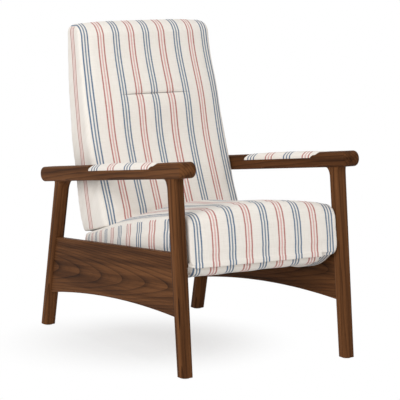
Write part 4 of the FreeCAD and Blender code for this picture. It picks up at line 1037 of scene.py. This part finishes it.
@dataclass
class Flap:
    """Fabric flap that hides the folded footrest.

    It starts as a lip on the seat's front, tucks back under it, and goes on as a tight strip whose right
    end hangs in a loose loop.
    """

    seat: Seat
    half_width: float = 0.257
    length: float = 0.178
    columns: int = 206
    rows: int = 40
    lip_share: tuple[float, ...] = (0.0, 0.075, 0.175, 0.25)
    lip_v: tuple[float, ...] = (0.004, -0.0004, 0.0006, 0.019)
    lip_w: tuple[float, ...] = (0.016, 0.004, -0.0085, -0.0075)
    loose_lip_v: tuple[float, ...] = (0.02, 0.021, 0.023, 0.026)
    loose_lip_w: tuple[float, ...] = (0.004, 0.003, 0.001, -0.001)
    start: Span = (0.019, -0.0075)
    knee: Span = (0.0165, -0.0475)
    end: Span = (0.108, -0.0305)
    loose_start: Span = (0.026, -0.001)
    loose_knee: Span = (0.105, -0.06)
    loose_end: Span = (0.222, -0.04)
    right_tight: float = 0.204
    right_loose: float = 0.213
    left_tight: float = 0.228
    left_looseness: float = 0.6
    rise: float = 0.12
    end_rise: float = 0.15
    end_round: float = 0.02
    turn: tuple[Span, Span] = ((0.014, -0.01), (0.016, -0.03))
    ripple: float = 0.0009
    ripple_rate: float = 55.0
    lip_margin: float = 1e-6
    thickness: float = 0.0012

    def section(self, looseness: Points, along: Points, slack: Points) -> tuple[Points, Points]:
        """Place points on the flap's section in the deck's frame.

        Args:
            looseness: How loose the section is at each point, from 0 to 1.
            along: Shares of the way from the front edge to the rear edge.
            slack: How much of its depth each tight section keeps.

        Returns:
            Distances along and above the deck.
        """
        pairs = zip((self.start, self.knee, self.end), (self.loose_start, self.loose_knee, self.loose_end))
        strip = np.clip((along - self.lip_share[-1]) / (1 - self.lip_share[-1]), 0, 1)
        weights = ((1 - strip) ** 2, 2 * strip * (1 - strip), strip ** 2)
        v, w = np.zeros_like(along), np.zeros_like(along)
        for weight, (tight, loose) in zip(weights, pairs):
            v += weight * (tight[0] + (loose[0] - tight[0]) * looseness)
            w += weight * (tight[1] * slack + (loose[1] - tight[1] * slack) * looseness)
        on_lip = along < self.lip_share[-1] - self.lip_margin
        for place, tight, loose in ((v, self.lip_v, self.loose_lip_v), (w, self.lip_w, self.loose_lip_w)):
            tucked = np.interp(along, self.lip_share, tight)
            hidden = np.interp(along, self.lip_share, loose)
            place[on_lip] = (tucked + (hidden - tucked) * looseness)[on_lip]
        return v, w

    def build(self, linen: Material) -> None:
        """Make the flap as a thin sheet that bends from the seat to the footrest."""
        bpy.ops.object.select_all(action="DESELECT")
        bpy.ops.mesh.primitive_grid_add(x_subdivisions=self.columns, y_subdivisions=self.rows, size=2)
        piece = bpy.context.object
        piece.name = "flap_cloth"
        flat = read_points(piece)
        across = flat[:, 0] * self.half_width
        along = (flat[:, 1] + 1) / 2
        looseness = smooth(self.right_tight, self.right_loose, across)
        looseness += self.left_looseness * smooth(-self.left_tight, -self.half_width, across)
        slack = 1 - self.rise * smooth(-self.half_width, self.half_width, across)
        slack *= 1 - self.end_rise * smooth(self.right_tight - self.end_round, self.right_tight, across)
        v, w = self.section(looseness, along, slack)
        w += self.ripple * np.sin(across * self.ripple_rate) * np.sin(along * math.pi) * (1 - looseness)
        matrix = np.array(self.seat.deck)
        write_points(piece, np.stack([across, v, w], axis=1) @ matrix[:3, :3].T + matrix[:3, 3])
        lay_cloth(piece, lambda points, facing, middles: np.stack(
            [self.seat.stripes_across(points[:, 0]), points[:, 1] - points[:, 2]], axis=1))
        bpy.ops.object.shade_smooth()
        apply_modifier(piece, "SOLIDIFY", thickness=self.thickness, offset=0)
        dress(piece, linen)
        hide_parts("leg_flap")
        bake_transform(piece)
        log.info("flap_cloth stands for leg_flap")


@dataclass
class Frame:
    """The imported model's own pieces and their finishes."""

    slots: dict[str, str]
    arm_slope: float = 6.96
    panel_slope: float = 4.0
    front_rake: float = 5.8
    rear_rake: float = -13.3

    def dress(self, nodes: Nodes) -> None:
        """Give every node that stays in view a finish."""
        beech = PlainFinish("beech", srgb(206, 170, 122), srgb(186, 146, 98), 0.6, stretch=(30, 30, 30))
        ply = PlainFinish("plywood", srgb(205, 175, 132), srgb(183, 148, 104), 0.6, stretch=(40, 6, 40))
        steel = PlainFinish("black_powder_coat", srgb(38, 38, 40), srgb(52, 52, 54), 0.45, relief=0.0003)
        zinc = PlainFinish("zinc_plate", srgb(186, 188, 190), srgb(160, 162, 166), 0.35, metal=1.0)
        nylon = PlainFinish("natural_nylon", srgb(226, 222, 208), srgb(210, 205, 190), 0.5)
        rubber = PlainFinish("moulded_rubber", srgb(30, 30, 30), srgb(44, 44, 44), 0.85)
        webbing = PlainFinish("elastic_webbing", srgb(60, 56, 52), srgb(84, 80, 74), 0.9,
                              stretch=(300, 300, 300), relief=0.0006)
        plain = {"frame_wood": beech, "dowel_wood": beech, "plywood": ply, "rail_steel": steel,
                 "zinc_steel": zinc, "nylon": nylon, "stop_rubber": rubber, "webbing": webbing}
        made = {slot: finish.make() for slot, finish in plain.items()}
        woods = {
            "left_arm": Walnut("walnut_left_arm", Grain.ALONG, self.arm_slope).make(),
            # Painted shade: a darker copy of the walnut for the right arm, whose inner face lies in shade.
            "right_arm": Walnut("walnut_right_arm_painted_shade", Grain.ALONG, self.arm_slope, light=srgb(98, 62, 36),
                                middle=srgb(74, 45, 25)).make(),
            "side_panel": Walnut("walnut_panel", Grain.ALONG, self.panel_slope, Figure.CATHEDRAL).make(),
            "front_leg": Walnut("walnut_front_leg", Grain.UPRIGHT, self.front_rake).make(),
            "rear_leg": Walnut("walnut_rear_leg", Grain.UPRIGHT, self.rear_rake).make(),
        }
        for name, slot in self.slots.items():
            if slot in made:
                dress(nodes[name], made[slot])
            elif slot == "walnut":
                dress(nodes[name], woods.get(name) or woods[name.split("_", 1)[1]])
        log.info("%d nodes dressed", len(self.slots))


@dataclass(frozen=True)
class Lamp:
    """A square soft lamp that points at the chair."""

    name: str
    place: Place
    size: float
    power: float

    def hang(self, aim: Place) -> None:
        """Hang the lamp at its place and point it at the aim."""
        data = bpy.data.lights.new(self.name, "AREA")
        data.shape = "SQUARE"
        data.size = self.size
        data.energy = self.power
        lamp = bpy.data.objects.new(self.name, data)
        bpy.context.scene.collection.objects.link(lamp)
        lamp.location = self.place
        lamp.rotation_euler = (Vector(aim) - Vector(self.place)).to_track_quat("-Z", "Y").to_euler()


@dataclass
class Studio:
    """Pale floor, soft light and the camera."""

    eye: Place = (-3.2667, -5.7394, 1.3838)
    target: Place = (-0.00261, -0.056, 0.5)
    lens: float = 189.39
    shift_up: float = -0.0316
    sensor: float = 36.0
    sight: float = 60.0
    floor_half: float = 12.0
    floor_grey: Colour = (0.86, 0.86, 0.86, 1.0)
    world_level: float = 0.45
    near_white: float = 0.65
    pool_x: float = -0.16
    pool_y: float = 0.06
    pool_near: float = 0.12
    pool_far: float = 0.53
    lamp_aim: Place = (0.0, 0.0, 0.5)
    lamps: tuple[Lamp, ...] = (
        Lamp("key", (-3.9, -2.7, 2.6), 3.0, 155),
        Lamp("fill", (2.4, -4.2, 2.0), 2.6, 25),
        Lamp("top", (0.1, 0.2, 4.2), 3.0, 34),
    )

    def camera(self) -> None:
        """Set the camera at the photograph's viewing angle."""
        data = bpy.data.cameras.new("view")
        data.lens = self.lens
        data.sensor_width = self.sensor
        data.shift_y = self.shift_up
        data.clip_end = self.sight
        eye = bpy.data.objects.new("view", data)
        bpy.context.scene.collection.objects.link(eye)
        eye.location = self.eye
        way = Vector(self.target) - Vector(self.eye)
        eye.rotation_euler = way.to_track_quat("-Z", "Y").to_euler()
        bpy.context.scene.camera = eye

    def floor(self) -> None:
        """Lay a pale floor that shows white but keeps the chair's shadow."""
        bpy.ops.object.select_all(action="DESELECT")
        bpy.ops.mesh.primitive_plane_add(size=2 * self.floor_half)
        plane = bpy.context.object
        plane.name = "floor"
        shader = Shader("pale_floor", Base_Color=self.floor_grey, Roughness=0.9, Specular_IOR_Level=0.0)
        x, y, _ = shader.split(shader.place())
        radius = ((x - self.pool_x) ** 2 + (y - self.pool_y) ** 2) ** 0.5
        # Painted light: the floor glows white for camera, mirror and glass rays, fully outside a pool under
        # the chair's left half and partly within it, where the lamps' shadow still shows.
        white = shader.node("ShaderNodeEmission", {}, {"Color": WHITE, "Strength": 1.0})
        pool = radius.fade(self.pool_near, self.pool_far, self.near_white, 1.0)
        shader.overlay(white, pool * shader.seen())
        dress(plane, shader.material)

    def world(self) -> None:
        """Light the scene evenly, with a white background in view and in reflections."""
        world = bpy.data.worlds.new("studio")
        bpy.context.scene.world = world
        world.use_nodes = True
        tree = NodeTree(world.node_tree)
        level = tree.seen().fade(0.0, 1.0, self.world_level, 1.0)
        back = tree.nodes["Background"]
        back.inputs["Color"].default_value = WHITE
        tree.links.new(level.socket, back.inputs["Strength"])

    def build(self) -> None:
        """Make the floor, the light and the camera."""
        bpy.context.scene.view_settings.view_transform = "Standard"
        self.floor()
        self.world()
        for lamp in self.lamps:
            lamp.hang(self.lamp_aim)
        self.camera()


def main() -> None:
    """Build the chair's covers and finishes and the studio round them."""
    logging.basicConfig(level=logging.INFO, format="%(name)s: %(message)s")
    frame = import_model()
    nodes = frame["nodes"]
    slots = {row["node"]: row["material_slot"] for row in frame["record"]["subparts"]}
    Frame(slots=slots).dress(nodes)
    linen = StripedLinen("striped_linen").make()
    seat, back, pads = Seat(), Back(), ArmPads()
    # Painted shade along the back's pull.
    pull = PullCreaseShade(back.pull_height, back.pull_half + back.pull_fade)
    back_linen = StripedLinen("back_linen", pull=pull).make()
    arm_linen = StripedLinen("arm_linen", pads.pitch, pads.line_gap, pads.line_half).make()
    seat.build(nodes, linen)
    back.build(nodes, back_linen)
    pads.build(nodes, arm_linen)
    Footrest().build(nodes, linen)
    Flap(seat).build(linen)
    Studio().build()


if __name__ == "__main__":
    main()
